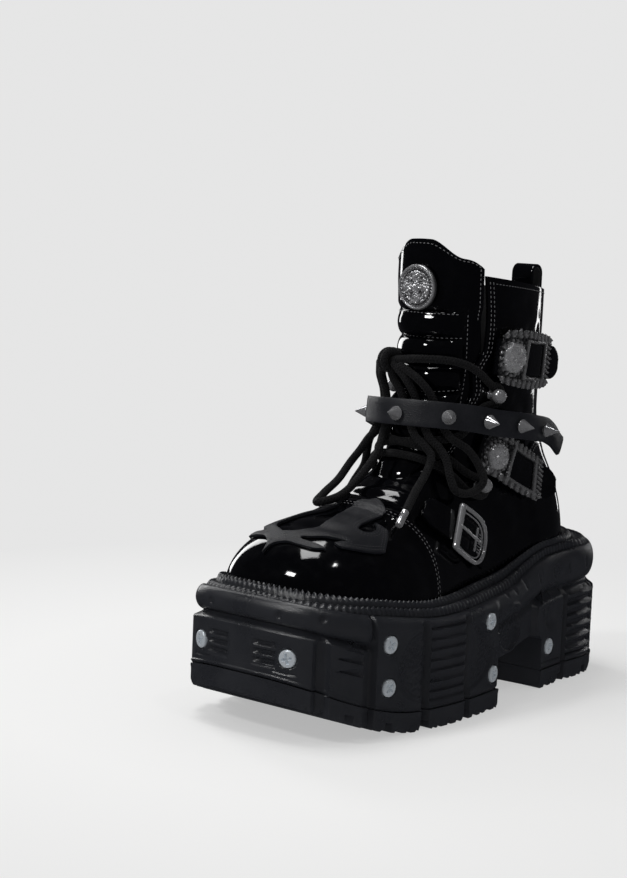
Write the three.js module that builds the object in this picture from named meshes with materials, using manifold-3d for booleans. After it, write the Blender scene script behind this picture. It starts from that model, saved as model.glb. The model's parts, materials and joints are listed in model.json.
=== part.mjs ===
// Platform ankle boot, left foot, empty and standing on its sole.
// Millimetres, +Z up. The toe points along -Y, the heel along +Y, the outer (lateral) side is +X.
// The origin lies on the floor, on the tread of the forefoot, under the middle of the boot's length.
// The last is a field: a foot body and a leg body, each read from a short table of sections and
// blended at the instep. Loops are cast against it, from the feather line up to the collar, and every
// leather piece is a patch of that one surface.
import * as THREE from 'three';
import Module from 'manifold-3d';
import { mergeVertices } from 'three/addons/utils/BufferGeometryUtils.js';

const wasm = await Module();
wasm.setup();

// ---- driving dimensions ----
const gap = 0.3;              // between touching pieces
const soleHalfLength = 148;
const treadThickness = 11;
const wall = 2.4;             // upper leather with its lining
const weltHeight = 8;
const collarFront = 243;
const collarBack = 231;
const laceRadius = 2.3;
const archFront = 5;          // the arch gap runs from here back to the heel
const archBack = 61;
const archHeight = 27;

// Sole outline: half widths at stations along the foot.
const soleRows = [
  { y: -148, lateral: 55, medial: 54 },
  { y: -100, lateral: 58, medial: 56 },
  { y: -45, lateral: 63, medial: 58 },
  { y: 15, lateral: 57, medial: 51 },
  { y: 55, lateral: 50, medial: 45 },
  { y: 100, lateral: 45, medial: 43 },
  { y: 148, lateral: 44, medial: 42 },
];
const toeRound = { length: 60, power: 3.4 };
const heelRound = { length: 46, power: 2.6 };

// The feather line, where the upper meets the sole, and the underside with its toe spring.
const featherRows = [
  { y: -148, z: 74 }, { y: -100, z: 65 }, { y: -45, z: 59 }, { y: 20, z: 64 },
  { y: 75, z: 77 }, { y: 148, z: 80 },
];
const toeSpring = { start: -70, height: 22, power: 1.7 };

// The midsole's side, from its underside (t 0) up to the feather line (t 1), where it is rolled and
// where it is plain.
const sideRows = [
  { t: 0, offset: -1, block: -1 }, { t: 0.06, offset: 0, block: 0 }, { t: 0.34, offset: 0, block: 0 },
  { t: 0.64, offset: -1.5, block: 0 }, { t: 0.69, offset: -5.5, block: -0.1 },
  { t: 0.76, offset: -4, block: -0.2 }, { t: 0.88, offset: -3, block: -0.9 }, { t: 1, offset: -6.5, block: -6.5 },
];
// Between these stations the side is plain up to the welt; elsewhere it has a groove under a rolled band.
const blockSpan = { from: -105.5, to: 5.5 };
// Upright grooves between the moulded blocks, the same on both sides.
const grooves = [
  { y: -135.5, width: 5 }, { y: -108.5, width: 7 }, { y: -66.5, width: 3.5 },
  { y: -29.5, width: 3.5 }, { y: 33, width: 54 }, { y: 86, width: 4 },
];
const grooveDepth = 3.5;

// Foot body: half widths at the feather line and the height of the top, by station.
const footRows = [
  { y: -131, lateral: 45, medial: 45, top: 102, centre: -4 },
  { y: -95, lateral: 48, medial: 46, top: 106, centre: -2 },
  { y: -60, lateral: 49, medial: 43, top: 114, centre: 0 },
  { y: -30, lateral: 45, medial: 39, top: 129, centre: 0 },
  { y: 0, lateral: 40, medial: 35, top: 146, centre: 0 },
  { y: 40, lateral: 37, medial: 33, top: 152, centre: 0 },
  { y: 116, lateral: 35, medial: 33, top: 140, centre: 0 },
];
const footToe = { start: -89, length: 42, power: 2.4 };
const footHeel = { start: 82, length: 35, power: 2.2 };
const footSquareness = 2.4;
const footCrown = 2.1;

// Leg body: horizontal ovals, by height.
const legRows = [
  { z: 55, front: 10, back: 115, half: 33 },
  { z: 85, front: 2, back: 117, half: 34 },
  { z: 100, front: -6, back: 116, half: 34 },
  { z: 115, front: -12, back: 111, half: 33 },
  { z: 135, front: -14, back: 105, half: 32 },
  { z: 160, front: -12, back: 101, half: 33 },
  { z: 190, front: -8, back: 99, half: 35 },
  { z: 226, front: -9, back: 99, half: 36 },
  { z: 280, front: -11, back: 100, half: 36 },
];
const legTaper = 0.22;        // how much narrower the leg is behind than in front
const legSquareness = 2.15;
const blendRadius = 9;

// Loops from the feather line (v 0) to the collar (v 1) and on to the tongue's tip.
const loopRows = [
  { v: 0, frontY: -131, frontZ: 71, backZ: 79.7 },
  { v: 0.05, frontY: -130, frontZ: 84, backZ: 87 },
  { v: 0.1, frontY: -123, frontZ: 95, backZ: 94.5 },
  { v: 0.2, frontY: -98, frontZ: 103, backZ: 109 },
  { v: 0.3, frontY: -76, frontZ: 109, backZ: 124 },
  { v: 0.4, frontY: -56, frontZ: 117, backZ: 138 },
  { v: 0.5, frontY: -38, frontZ: 128, backZ: 153 },
  { v: 0.6, frontY: -24, frontZ: 145, backZ: 167 },
  { v: 0.7, frontY: -15, frontZ: 167, backZ: 183 },
  { v: 0.8, frontY: -11, frontZ: 191, backZ: 199 },
  { v: 1, frontY: -9, frontZ: collarFront, backZ: collarBack },
  { v: 1.15, frontY: -10, frontZ: 285, backZ: 250 },
];

// ---- table and curve helpers ----
// Monotone cubic through one column of a table.
function column(rows, by, key, at) {
  const n = rows.length;
  const x = rows.map((r) => r[by]);
  const y = rows.map((r) => r[key]);
  if (at <= x[0]) return y[0];
  if (at >= x[n - 1]) return y[n - 1];
  let i = 0;
  while (at > x[i + 1]) i += 1;
  const slope = (k) => (y[k + 1] - y[k]) / (x[k + 1] - x[k]);
  const tangent = (k) => {
    if (k === 0) return slope(0);
    if (k === n - 1) return slope(n - 2);
    const a = slope(k - 1);
    const b = slope(k);
    return a * b <= 0 ? 0 : (2 * a * b) / (a + b);
  };
  const h = x[i + 1] - x[i];
  const t = (at - x[i]) / h;
  const t2 = t * t;
  const t3 = t2 * t;
  return (2 * t3 - 3 * t2 + 1) * y[i] + (t3 - 2 * t2 + t) * h * tangent(i)
    + (3 * t2 - 2 * t3) * y[i + 1] + (t3 - t2) * h * tangent(i + 1);
}
const feather = (y) => column(featherRows, 'y', 'z', y);
function underside(y) {
  const run = Math.max(0, toeSpring.start - y) / (soleHalfLength + toeSpring.start);
  return toeSpring.height * run ** toeSpring.power;
}
const range = (n) => Array.from({ length: n }, (_, i) => i);
const radians = (deg) => (deg * Math.PI) / 180;
const lerp = THREE.MathUtils.lerp;

// ---- the last ----
function footField(x, y, z) {
  const base = feather(y);
  const side = x - column(footRows, 'y', 'centre', y);
  const half = column(footRows, 'y', side > 0 ? 'lateral' : 'medial', y);
  const up = Math.max(0, z - base) / (column(footRows, 'y', 'top', y) - base);
  const toe = Math.max(0, footToe.start - y) / footToe.length;
  const heel = Math.max(0, y - footHeel.start) / footHeel.length;
  const sum = Math.abs(side / half) ** footSquareness + up ** footCrown
    + toe ** footToe.power + heel ** footHeel.power;
  return (sum ** (1 / footSquareness) - 1) * 40;
}
function legField(x, y, z) {
  const front = column(legRows, 'z', 'front', z);
  const back = column(legRows, 'z', 'back', z);
  const along = (y - (front + back) / 2) / ((back - front) / 2);
  const rear = THREE.MathUtils.clamp((along + 1) / 2, 0, 1);
  const half = column(legRows, 'z', 'half', z) * (1 - legTaper * rear * rear);
  const sum = Math.abs(x / half) ** legSquareness + Math.abs(along) ** legSquareness;
  return (sum ** (1 / legSquareness) - 1) * 42;
}
function last(x, y, z) {
  const a = footField(x, y, z);
  const b = legField(x, y, z);
  const blend = Math.max(0, blendRadius - Math.abs(a - b)) / blendRadius;
  return Math.min(a, b) - (blend * blend * blendRadius) / 4;
}
function normalAt(p) {
  const e = 0.4;
  return new THREE.Vector3(
    last(p.x + e, p.y, p.z) - last(p.x - e, p.y, p.z),
    last(p.x, p.y + e, p.z) - last(p.x, p.y - e, p.z),
    last(p.x, p.y, p.z + e) - last(p.x, p.y, p.z - e),
  ).normalize();
}
// Walks out along path(r) to the skin of the last.
function cast(path) {
  let low = 0;
  let high = 200;
  for (let k = 0; k < 30; k += 1) {
    const mid = (low + high) / 2;
    const p = path(mid);
    if (last(p.x, p.y, p.z) < 0) low = mid;
    else high = mid;
  }
  return path((low + high) / 2);
}
// The sheet that loop v lies in: a tilted plane that takes up the feather line's curve near the sole.
function sheet(v) {
  const frontY = column(loopRows, 'v', 'frontY', v);
  const frontZ = column(loopRows, 'v', 'frontZ', v);
  const backZ = column(loopRows, 'v', 'backZ', v);
  const backY = lerp(118, 98, Math.min(1, v));
  const sag = Math.max(0, 1 - v / 0.4);
  const chord = (y, a, b) => a + ((b - a) * (y - frontY)) / (backY - frontY);
  const height = (y) => chord(y, frontZ, backZ)
    + sag * (feather(y) - chord(y, feather(frontY), feather(backY)));
  return { height, middle: (frontY + backY) / 2, half: (backY - frontY) / 2 };
}
// Skin of the last at loop v and angle a: 0 is the front, 90 lateral, 180 the back, -90 medial.
function skin(v, a) {
  const s = sheet(v);
  const dx = Math.sin(radians(a)) * 45;
  const dy = -Math.cos(radians(a)) * s.half;
  const length = Math.hypot(dx, dy);
  return cast((r) => {
    const y = s.middle + (dy / length) * r;
    return new THREE.Vector3((dx / length) * r, y, s.height(y));
  });
}
// Skin of the leg at a height, looking out from the middle of the ankle.
function ankle(z, a) {
  const middle = (column(legRows, 'z', 'front', z) + column(legRows, 'z', 'back', z)) / 2;
  const dx = Math.sin(radians(a));
  const dy = -Math.cos(radians(a));
  return cast((r) => new THREE.Vector3(dx * r, middle + dy * r, z));
}
// The angle on loop v that lies a given way round the loop from the front.
function angleAt(v, way) {
  const side = Math.sign(way) || 1;
  let run = 0;
  let before = skin(v, 0);
  for (let a = 1; a < 180; a += 1) {
    const here = skin(v, a * side);
    const step = here.distanceTo(before);
    if (run + step >= Math.abs(way)) return side * (a - 1 + (Math.abs(way) - run) / step);
    run += step;
    before = here;
  }
  return 180 * side;
}

// ---- solids ----
function geometryOf(points, faces) {
  const g = new THREE.BufferGeometry();
  g.setAttribute('position', new THREE.Float32BufferAttribute(points.flatMap((p) => [p.x, p.y, p.z]), 3));
  g.setIndex(faces.flat());
  return g;
}
function solidOf(geometry) {
  const g = geometry.clone();
  g.deleteAttribute('normal');
  g.deleteAttribute('uv');
  const m = mergeVertices(g, 1e-4);
  const made = new wasm.Manifold(new wasm.Mesh({
    numProp: 3,
    vertProperties: new Float32Array(m.attributes.position.array),
    triVerts: new Uint32Array(m.index.array),
  }));
  return made;
}
function fromSolid(solid) {
  const m = solid.getMesh();
  const g = new THREE.BufferGeometry();
  g.setAttribute('position', new THREE.BufferAttribute(new Float32Array(m.vertProperties), 3));
  g.setIndex(new THREE.BufferAttribute(new Uint32Array(m.triVerts), 1));
  return g;
}
// Stitches the end of a loft shut, side to side. A ring that starts at a point, like an outline from
// the toe, pairs its two flanks. A ring made of two rows pairs the rows.
function endFaces(start, n, pointed) {
  const mate = (k) => (pointed ? (n - k) % n : n - 1 - k);
  const faces = [];
  for (let k = 0; k < n / 2 - (pointed ? 0 : 1); k += 1) {
    const quad = [k, k + 1, mate(k + 1), mate(k)].map((i) => start + i);
    if (quad[1] !== quad[2]) faces.push([quad[0], quad[1], quad[2]]);
    if (quad[0] !== quad[3]) faces.push([quad[0], quad[2], quad[3]]);
  }
  return faces;
}
// Skins a list of rings of equal count, and closes both ends unless the rings run right round.
function loft(rings, { looped = false, pointed = false } = {}) {
  const n = rings[0].length;
  const faces = [];
  const spans = looped ? rings.length : rings.length - 1;
  for (let i = 0; i < spans; i += 1) {
    const j = (i + 1) % rings.length;
    for (let k = 0; k < n; k += 1) {
      const l = (k + 1) % n;
      faces.push([i * n + k, i * n + l, j * n + l], [i * n + k, j * n + l, j * n + k]);
    }
  }
  if (!looped) {
    faces.push(...endFaces(0, n, pointed).map((f) => [f[0], f[2], f[1]]));
    faces.push(...endFaces((rings.length - 1) * n, n, pointed));
  }
  return outward(geometryOf(rings.flat(), faces));
}
function outward(g) {
  const p = g.attributes.position;
  const at = (i) => new THREE.Vector3().fromBufferAttribute(p, g.index.getX(i));
  let volume = 0;
  for (let i = 0; i < g.index.count; i += 3) volume += at(i).dot(at(i + 1).cross(at(i + 2)));
  if (volume < 0) {
    for (let i = 0; i < g.index.count; i += 3) {
      const swap = g.index.getX(i);
      g.index.setX(i, g.index.getX(i + 1));
      g.index.setX(i + 1, swap);
    }
  }
  return g;
}
// A sheet of leather: a grid of skin points, thickened between two offsets along the skin's normal.
function slab(grid, inner, outer, { around = false } = {}) {
  const offset = (p, i, j, d) => p.clone().addScaledVector(normalAt(p), typeof d === 'function' ? d(i, j) : d);
  const rings = grid.map((row, i) => {
    const low = row.map((p, j) => offset(p, i, j, inner));
    const high = row.map((p, j) => offset(p, i, j, outer));
    return { low, high };
  });
  if (around) {
    const out = rings.map((r) => r.high);
    const back = rings.map((r) => r.low).reverse();
    return loft([...out, ...back], { looped: true });
  }
  return loft(rings.map((r) => [...r.high, ...r.low.slice().reverse()]));
}
const patch = (vs, angles) => vs.map((v) => angles(v).map((a) => skin(v, a)));
const spaced = (from, to, n) => range(n + 1).map((i) => lerp(from, to, i / n));

// A tube of n sides along a smooth curve through a list of points.
function cord(route, radius, steps, sides = 8) {
  const curve = new THREE.CatmullRomCurve3(route.map((p) => new THREE.Vector3(...p)));
  const section = new THREE.Shape(range(sides).map((i) => {
    const a = (i / sides) * 2 * Math.PI;
    return new THREE.Vector2(Math.cos(a) * radius, Math.sin(a) * radius);
  }));
  return new THREE.ExtrudeGeometry(section, { steps, extrudePath: curve });
}
// Turns a shape made along +Z so that it stands on a point along a direction.
function standOn(geometry, point, direction, lift = 0) {
  const turn = new THREE.Quaternion().setFromUnitVectors(new THREE.Vector3(0, 0, 1), direction);
  const place = point.clone().addScaledVector(direction, lift);
  return geometry.applyMatrix4(new THREE.Matrix4().compose(place, turn, new THREE.Vector3(1, 1, 1)));
}
function lathe(profile, segments) {
  const g = new THREE.LatheGeometry(profile.map(([r, h]) => new THREE.Vector2(r, h)), segments);
  return g.rotateX(Math.PI / 2);
}
function cylinder(radius, height, segments = 16) {
  return new THREE.CylinderGeometry(radius, radius, height, segments).rotateX(Math.PI / 2);
}

// ---- materials ----
const finish = (color, roughness, metalness = 0) => new THREE.MeshStandardMaterial({ color, roughness, metalness });
const patent = finish(0x0b0b0d, 0.08);
const matteLeather = finish(0x1b1b1e, 0.55);
const rubber = finish(0x16171a, 0.5);
const lining = finish(0x222226, 0.9);
const steel = finish(0xc8c8c8, 0.2, 1);
const darkSteel = finish(0x6d6d70, 0.3, 1);
const zinc = finish(0xd5dbe0, 0.35, 1);
const laceBlack = finish(0x151518, 0.9);

const boot = new THREE.Group();
function add(name, geometry, material) {
  const mesh = new THREE.Mesh(geometry, material);
  mesh.name = name;
  boot.add(mesh);
  return mesh;
}

// ---- sole ----
function soleHalf(y, side) {
  const half = column(soleRows, 'y', side > 0 ? 'lateral' : 'medial', y);
  const toe = Math.max(0, -(soleHalfLength - toeRound.length) - y) / toeRound.length;
  const heel = Math.max(0, y - (soleHalfLength - heelRound.length)) / heelRound.length;
  return half * (1 - Math.min(1, toe) ** toeRound.power) ** (1 / toeRound.power)
    * (1 - Math.min(1, heel) ** heelRound.power) ** (1 / heelRound.power);
}
// Stations round the outline, closer together at toe and heel, with each groove's edges among them.
const stations = (() => {
  const coarse = range(25).map((i) => -Math.cos((i / 24) * Math.PI) * soleHalfLength);
  const edges = grooves.flatMap((g) => [-0.5, 0.5].flatMap((s) => [g.y + s * g.width, g.y + s * (g.width + 2)]));
  const clear = coarse.filter((y) => edges.every((e) => Math.abs(e - y) > 2.2));
  return [...clear, ...edges].sort((a, b) => a - b);
})();
// The outline, round once, moved in or out by an offset that may change with the station.
function outline(offset) {
  const n = stations.length;
  const side = (sign, list) => list.map((y) => new THREE.Vector2(sign * soleHalf(y, sign), y));
  const ring = [...side(1, stations), ...side(-1, stations.slice(1, n - 1).reverse())];
  return ring.map((p, i) => {
    const a = ring[(i + ring.length - 1) % ring.length];
    const b = ring[(i + 1) % ring.length];
    const out = new THREE.Vector2(b.y - a.y, a.x - b.x).normalize();
    const d = typeof offset === 'function' ? offset(p.y) : offset;
    return p.clone().addScaledVector(out, d);
  });
}
const inGroove = (y) => grooves.some((g) => Math.abs(y - g.y) <= g.width / 2 + 0.01);
const level = (ring, height) => ring.map((p) => new THREE.Vector3(p.x, p.y, height(p.y)));

// The arch gap: a prism across the sole, with its roof sloping up to the heel.
function archCutter(from, to) {
  const shape = new THREE.Shape([
    new THREE.Vector2(from, -5), new THREE.Vector2(to, -5), new THREE.Vector2(to, archHeight + 3),
    new THREE.Vector2(to - 4, archHeight + 6), new THREE.Vector2(from + 4, archHeight),
    new THREE.Vector2(from, archHeight - 4),
  ]);
  const g = new THREE.ExtrudeGeometry(shape, { depth: 200, bevelEnabled: false });
  g.rotateX(Math.PI / 2).rotateZ(Math.PI / 2).translate(-100, 0, 0);
  return solidOf(g);
}
const screwSpots = [
  { name: 'toe', y: -145.5, z: 45 },
  { name: 'fore_high', y: -95, z: 50 }, { name: 'fore_low', y: -95, z: 27 },
  { name: 'mid_high', y: -6.5, z: 51 }, { name: 'mid_low', y: -1.5, z: 20.5 },
  { name: 'heel', y: 71, z: 24 },
];
const screwHead = { radius: 4.7, depth: 2.6, proud: 0.9 };
function wallAt(y, side) {
  const step = 0.5;
  const at = (s) => new THREE.Vector3(side * soleHalf(s, side), s, 0);
  const along = at(y + step).sub(at(y - step));
  return { point: at(y), out: new THREE.Vector3(side * along.y, -side * along.x, 0).normalize() };
}

function makeMidsole() {
  const floor = (y) => underside(y) + treadThickness + gap;
  const plain = (y) => y > blockSpan.from && y < blockSpan.to;
  const rings = sideRows.map((row) => level(
    outline((y) => (plain(y) ? row.block : row.offset) - (inGroove(y) && row.t < 0.66 ? grooveDepth : 0)),
    (y) => lerp(floor(y), feather(y), row.t),
  ));
  let solid = solidOf(loft(rings, { pointed: true })).subtract(archCutter(archFront, archBack));
  for (const side of [1, -1]) {
    for (const spot of screwSpots) {
      const at = wallAt(spot.y, side);
      at.point.z = spot.z;
      const floorLift = screwHead.proud - screwHead.depth - gap;
      const hole = standOn(cylinder(screwHead.radius + gap + 0.1, 8, 12), at.point, at.out, 4 + floorLift);
      solid = solid.subtract(solidOf(hole));
    }
  }
  return fromSolid(solid);
}
function makeScrew(spot, side) {
  const at = wallAt(spot.y, side);
  at.point.z = spot.z;
  const { radius, depth, proud } = screwHead;
  const head = lathe([[0, 0], [radius, 0], [radius, depth - 0.6], [0, depth]], 12);
  return standOn(head, at.point, at.out, proud - depth);
}

// The tread: a plate with lugs, parted by cross grooves and one groove along the middle.
const lugGrooves = [
  { y: -122, width: 5 }, { y: -94, width: 5 }, { y: -66, width: 5 }, { y: -29.5, width: 5 },
  { y: 86, width: 5 }, { y: 116, width: 5 },
];
function makeTread(from, to) {
  const ring = outline((y) => (inGroove(y) && Math.abs(y - 33) > 30 ? -grooveDepth : 0));
  const plate = [level(ring, underside), level(ring, (y) => underside(y) + treadThickness)];
  let solid = solidOf(loft(plate, { pointed: true }));
  solid = solid.intersect(solidOf(new THREE.BoxGeometry(200, to - from, 120).translate(0, (from + to) / 2, 0)));
  const depth = 5;
  for (const g of lugGrooves) {
    if (g.y > from && g.y < to) {
      const bar = new THREE.BoxGeometry(200, g.width, 20).translate(0, g.y, underside(g.y) + depth - 10);
      solid = solid.subtract(solidOf(bar));
    }
  }
  return fromSolid(solid);
}

// The welt: a ring with a raised inner cord and a lower outer one.
const weltSection = [
  { across: 0, up: 0 }, { across: 1, up: 0 }, { across: 1, up: 0.45 }, { across: 0.55, up: 0.6 },
  { across: 0.5, up: 1 }, { across: 0, up: 1 },
];
function makeWelt() {
  const turns = spaced(0, 360, 56).slice(0, -1);
  const rings = turns.map((a) => {
    const foot = skin(0.02, a);
    const out = normalAt(foot).setZ(0).normalize();
    const reach = soleReach(foot, out) - 5.8;
    return weltSection.map((c) => {
      const p = foot.clone().addScaledVector(out, 0.9 + (reach - 0.9) * c.across);
      return p.setZ(feather(p.y) + 2 * gap + weltHeight * c.up);
    });
  });
  return loft(rings, { looped: true });
}
// How far a point of the feather line lies inside the sole's outline, along a direction.
function soleReach(p, out) {
  let r = 0;
  const inside = (q) => Math.abs(q.y) < soleHalfLength && Math.abs(q.x) < soleHalf(q.y, q.x);
  while (r < 40 && inside(p.clone().addScaledVector(out, r))) r += 0.25;
  return r;
}
function makeInsole() {
  const turns = spaced(0, 360, 44).slice(0, -1);
  const rim = turns.map((a) => {
    const foot = skin(0.01, a);
    return foot.addScaledVector(normalAt(foot).setZ(0).normalize(), -(wall + 2));
  });
  const at = (lift) => rim.map((p) => p.clone().setZ(feather(p.y) + lift));
  return loft([at(2 * gap), at(2 * gap + 4)], { pointed: true });
}

// ---- upper ----
const loopsUp = [0, 0.035, 0.07, 0.12, 0.19, 0.27, 0.35, 0.43, 0.51, 0.59, 0.67, 0.77, 0.88, 1];
// Half the throat's width, along the skin, by loop.
const throatRows = [
  { v: 0.48, half: 12 }, { v: 0.53, half: 24 }, { v: 0.6, half: 29 }, { v: 0.66, half: 31 },
  { v: 0.72, half: 36 }, { v: 0.77, half: 34 }, { v: 0.83, half: 41 }, { v: 0.9, half: 42 }, { v: 1.02, half: 40 },
];
const zipAngle = (v) => -lerp(112, 106, v);
const zipBottom = 0.16;
const zipHalf = 5;

function throatCutter() {
  const vs = [0.48, 0.51, 0.54, 0.58, 0.62, 0.66, 0.7, 0.74, 0.78, 0.83, 0.88, 0.94, 1, 1.05];
  const grid = patch(vs, (v) => {
    const half = column(throatRows, 'v', 'half', v);
    return spaced(angleAt(v, -half), angleAt(v, half), 6);
  });
  return solidOf(slab(grid, -9, 8));
}
function zipPatch(half, bottom, top, inner, outer) {
  const vs = spaced(bottom, top, 12);
  const grid = patch(vs, (v) => {
    const p = skin(v, zipAngle(v));
    const perMm = 2 / skin(v, zipAngle(v) + 2).distanceTo(p);
    return [-half, 0, half].map((d) => zipAngle(v) + d * perMm);
  });
  return slab(grid, inner, outer);
}
function makeUpper() {
  const grid = patch(loopsUp, () => spaced(0, 360, 44).slice(0, -1));
  grid[0].forEach((p) => p.setZ(feather(p.y) + gap));
  const shell = solidOf(slab(grid, -wall, 0, { around: true }));
  const slot = solidOf(zipPatch(zipHalf + gap, zipBottom, 1.05, -9, 6));
  const floor = solidOf(midsoleTopCutter());
  return fromSolid(shell.subtract(throatCutter()).subtract(slot).subtract(floor));
}
// Everything under the feather line, to trim the upper's lower edge clear of the midsole.
function midsoleTopCutter() {
  return loft([level(outline(2), () => 20), level(outline(2), (y) => feather(y) + 2 * gap)], { pointed: true });
}

// The tongue lies inside the throat, swells into padded rolls and stands above the collar.
const rolls = { first: 129.2, pitch: 15.1, count: 6, rise: 4.6, half: 29 };
const rollsTop = rolls.first + rolls.pitch * rolls.count;
function rollLift(z, way, throat) {
  if (z < rolls.first || z > rollsTop) return 0;
  const edge = Math.max(0, 1 - (way / Math.min(rolls.half, throat - 5)) ** 4);
  return rolls.rise * Math.sqrt(Math.abs(Math.sin(((z - rolls.first) / rolls.pitch) * Math.PI))) * edge;
}
// Half width of the tongue along the skin, and how deep its face lies under the skin.
const tongueDeep = wall + 0.5;
const tongueRows = [
  { v: 0.46, half: 12, deep: tongueDeep }, { v: 0.51, half: 24, deep: tongueDeep },
  { v: 0.56, half: 30, deep: tongueDeep }, { v: 0.6, half: 34, deep: tongueDeep },
  { v: 0.72, half: 40, deep: tongueDeep }, { v: 0.8, half: 40, deep: tongueDeep },
  { v: 0.9, half: 39, deep: tongueDeep }, { v: 0.93, half: 38.5, deep: 0 }, { v: 1.06, half: 38.5, deep: 0 },
];
// The top edge: highest in front, lower towards the rounded corners.
function tongueTopAt(w) {
  const fall = THREE.MathUtils.smoothstep(Math.abs(w), 0.15, 0.7);
  const corner = Math.max(0, (Math.abs(w) - 0.75) / 0.25);
  return 1.06 - 0.03 * fall - 0.015 * corner * corner;
}
function makeTongue() {
  const vs = [0.46, 0.49, ...spaced(0.52, 0.91, 21), 0.935, 0.98, 1.03, 1.06];
  const ways = [-1, -0.9, -0.75, -0.5, -0.25, 0, 0.25, 0.5, 0.75, 0.9, 1];
  const read = (key, v) => column(tongueRows, 'v', key, v);
  const grid = vs.map((v) => ways.map((w) => {
    const share = Math.max(0, v - 0.98) / 0.08;
    const at = v > 0.98 ? lerp(0.98, tongueTopAt(w), share) : v;
    return skin(at, angleAt(at, w * read('half', v)));
  }));
  const throat = vs.map((v) => column(throatRows, 'v', 'half', v));
  const face = (i, j) => rollLift(grid[i][j].z, ways[j] * read('half', vs[i]), throat[i]) - read('deep', vs[i]);
  return slab(grid, (i) => -read('deep', vs[i]) - 3, face);
}

// ---- pieces that lie on the leg ----
// A point over the leg: height, angle round the ankle, and lift off the skin.
function over(z, a, lift) {
  const p = ankle(z, a);
  return p.addScaledVector(normalAt(p), lift);
}
function ankleAngle(p) {
  const middle = (column(legRows, 'z', 'front', p.z) + column(legRows, 'z', 'back', p.z)) / 2;
  return (Math.atan2(p.x, middle - p.y) * 180) / Math.PI;
}
// A band that follows a route over the leg. Rows give height, angle, lift and half width by t.
const across = [-1, -0.34, 0.34, 1];
function bandAt(rows, t) {
  const read = (key, at) => column(rows, 't', key, at);
  const raised = (at) => over(read('z', at), read('angle', at), read('lift', at));
  const centre = ankle(read('z', t), read('angle', t));
  const skinOut = normalAt(centre);
  const along = raised(t + 0.01).sub(raised(t - 0.01)).normalize();
  const side = skinOut.clone().cross(along).normalize();
  const out = along.clone().cross(side);
  return { centre, raised: raised(t), along, side, out, lift: read('lift', t), half: read('half', t) };
}
function band(rows, thickness, from, to, steps, share = 1) {
  const stops = spaced(from, to, steps).map((t) => bandAt(rows, t));
  const grid = stops.map((b) => across.map((w) => {
    const q = b.centre.clone().addScaledVector(b.side, w * b.half * share);
    return ankle(q.z, ankleAngle(q));
  }));
  return slab(grid, (i) => stops[i].lift, (i) => stops[i].lift + thickness);
}

const strapRows = {
  upper: [
    { t: 0, z: 196, angle: 51, lift: 0.4, half: 10 }, { t: 0.3, z: 194.5, angle: 77, lift: 0.4, half: 10 },
    { t: 0.6, z: 192.5, angle: 104, lift: 0.4, half: 10 }, { t: 0.8, z: 191.5, angle: 127, lift: 0.8, half: 10 },
    { t: 0.92, z: 190.5, angle: 139, lift: 4, half: 9.5 }, { t: 1, z: 189.5, angle: 148, lift: 7, half: 6 },
  ],
  middle: [
    { t: 0, z: 145, angle: 42, lift: 0.4, half: 9.5 }, { t: 0.3, z: 138, angle: 63, lift: 0.4, half: 9.5 },
    { t: 0.6, z: 129.5, angle: 91, lift: 0.4, half: 9.5 }, { t: 0.8, z: 123, angle: 114, lift: 0.8, half: 9.5 },
    { t: 0.92, z: 119, angle: 127, lift: 3, half: 9 }, { t: 1, z: 116, angle: 135, lift: 5, half: 6 },
  ],
  vamp: [
    { t: 0, z: 112, angle: 19, lift: 0.4, half: 4.5 }, { t: 0.1, z: 109.5, angle: 21.2, lift: 0.4, half: 8.5 },
    { t: 0.4, z: 101.5, angle: 27, lift: 0.4, half: 9 }, { t: 0.7, z: 92, angle: 32.5, lift: 0.4, half: 9 },
    { t: 1, z: 83.5, angle: 37.5, lift: 0.4, half: 9 },
  ],
  ankle: [
    { t: 0, z: 88, angle: -86, lift: 0.4, half: 7.5 }, { t: 0.1, z: 108, angle: -82, lift: 0.6, half: 7.5 },
    { t: 0.2, z: 127, angle: -77, lift: 1.5, half: 7.5 }, { t: 0.28, z: 143, angle: -66, lift: 4.5, half: 7.5 },
    { t: 0.36, z: 154, angle: -47, lift: 8.2, half: 7.5 }, { t: 0.43, z: 160, angle: -25, lift: 11, half: 7.5 },
    { t: 0.51, z: 160.5, angle: -4, lift: 10.4, half: 7.5 }, { t: 0.61, z: 161.5, angle: 24, lift: 9.8, half: 7.5 },
    { t: 0.7, z: 158.6, angle: 52, lift: 7.6, half: 7.5 }, { t: 0.77, z: 156.5, angle: 78, lift: 7.2, half: 7.5 },
    { t: 0.85, z: 154, angle: 106, lift: 7, half: 7.5 }, { t: 0.92, z: 150.5, angle: 133, lift: 7.4, half: 7.5 },
    { t: 0.96, z: 145.5, angle: 142, lift: 9.5, half: 7.5 }, { t: 1, z: 137, angle: 146, lift: 12, half: 7.5 },
  ],
};
const strapThickness = 2.2;
const ornate = { base: 3.3, thickness: 2.8, from: 0.05, to: 0.8, windowFrom: 0.38, windowTo: 0.73 };

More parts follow.
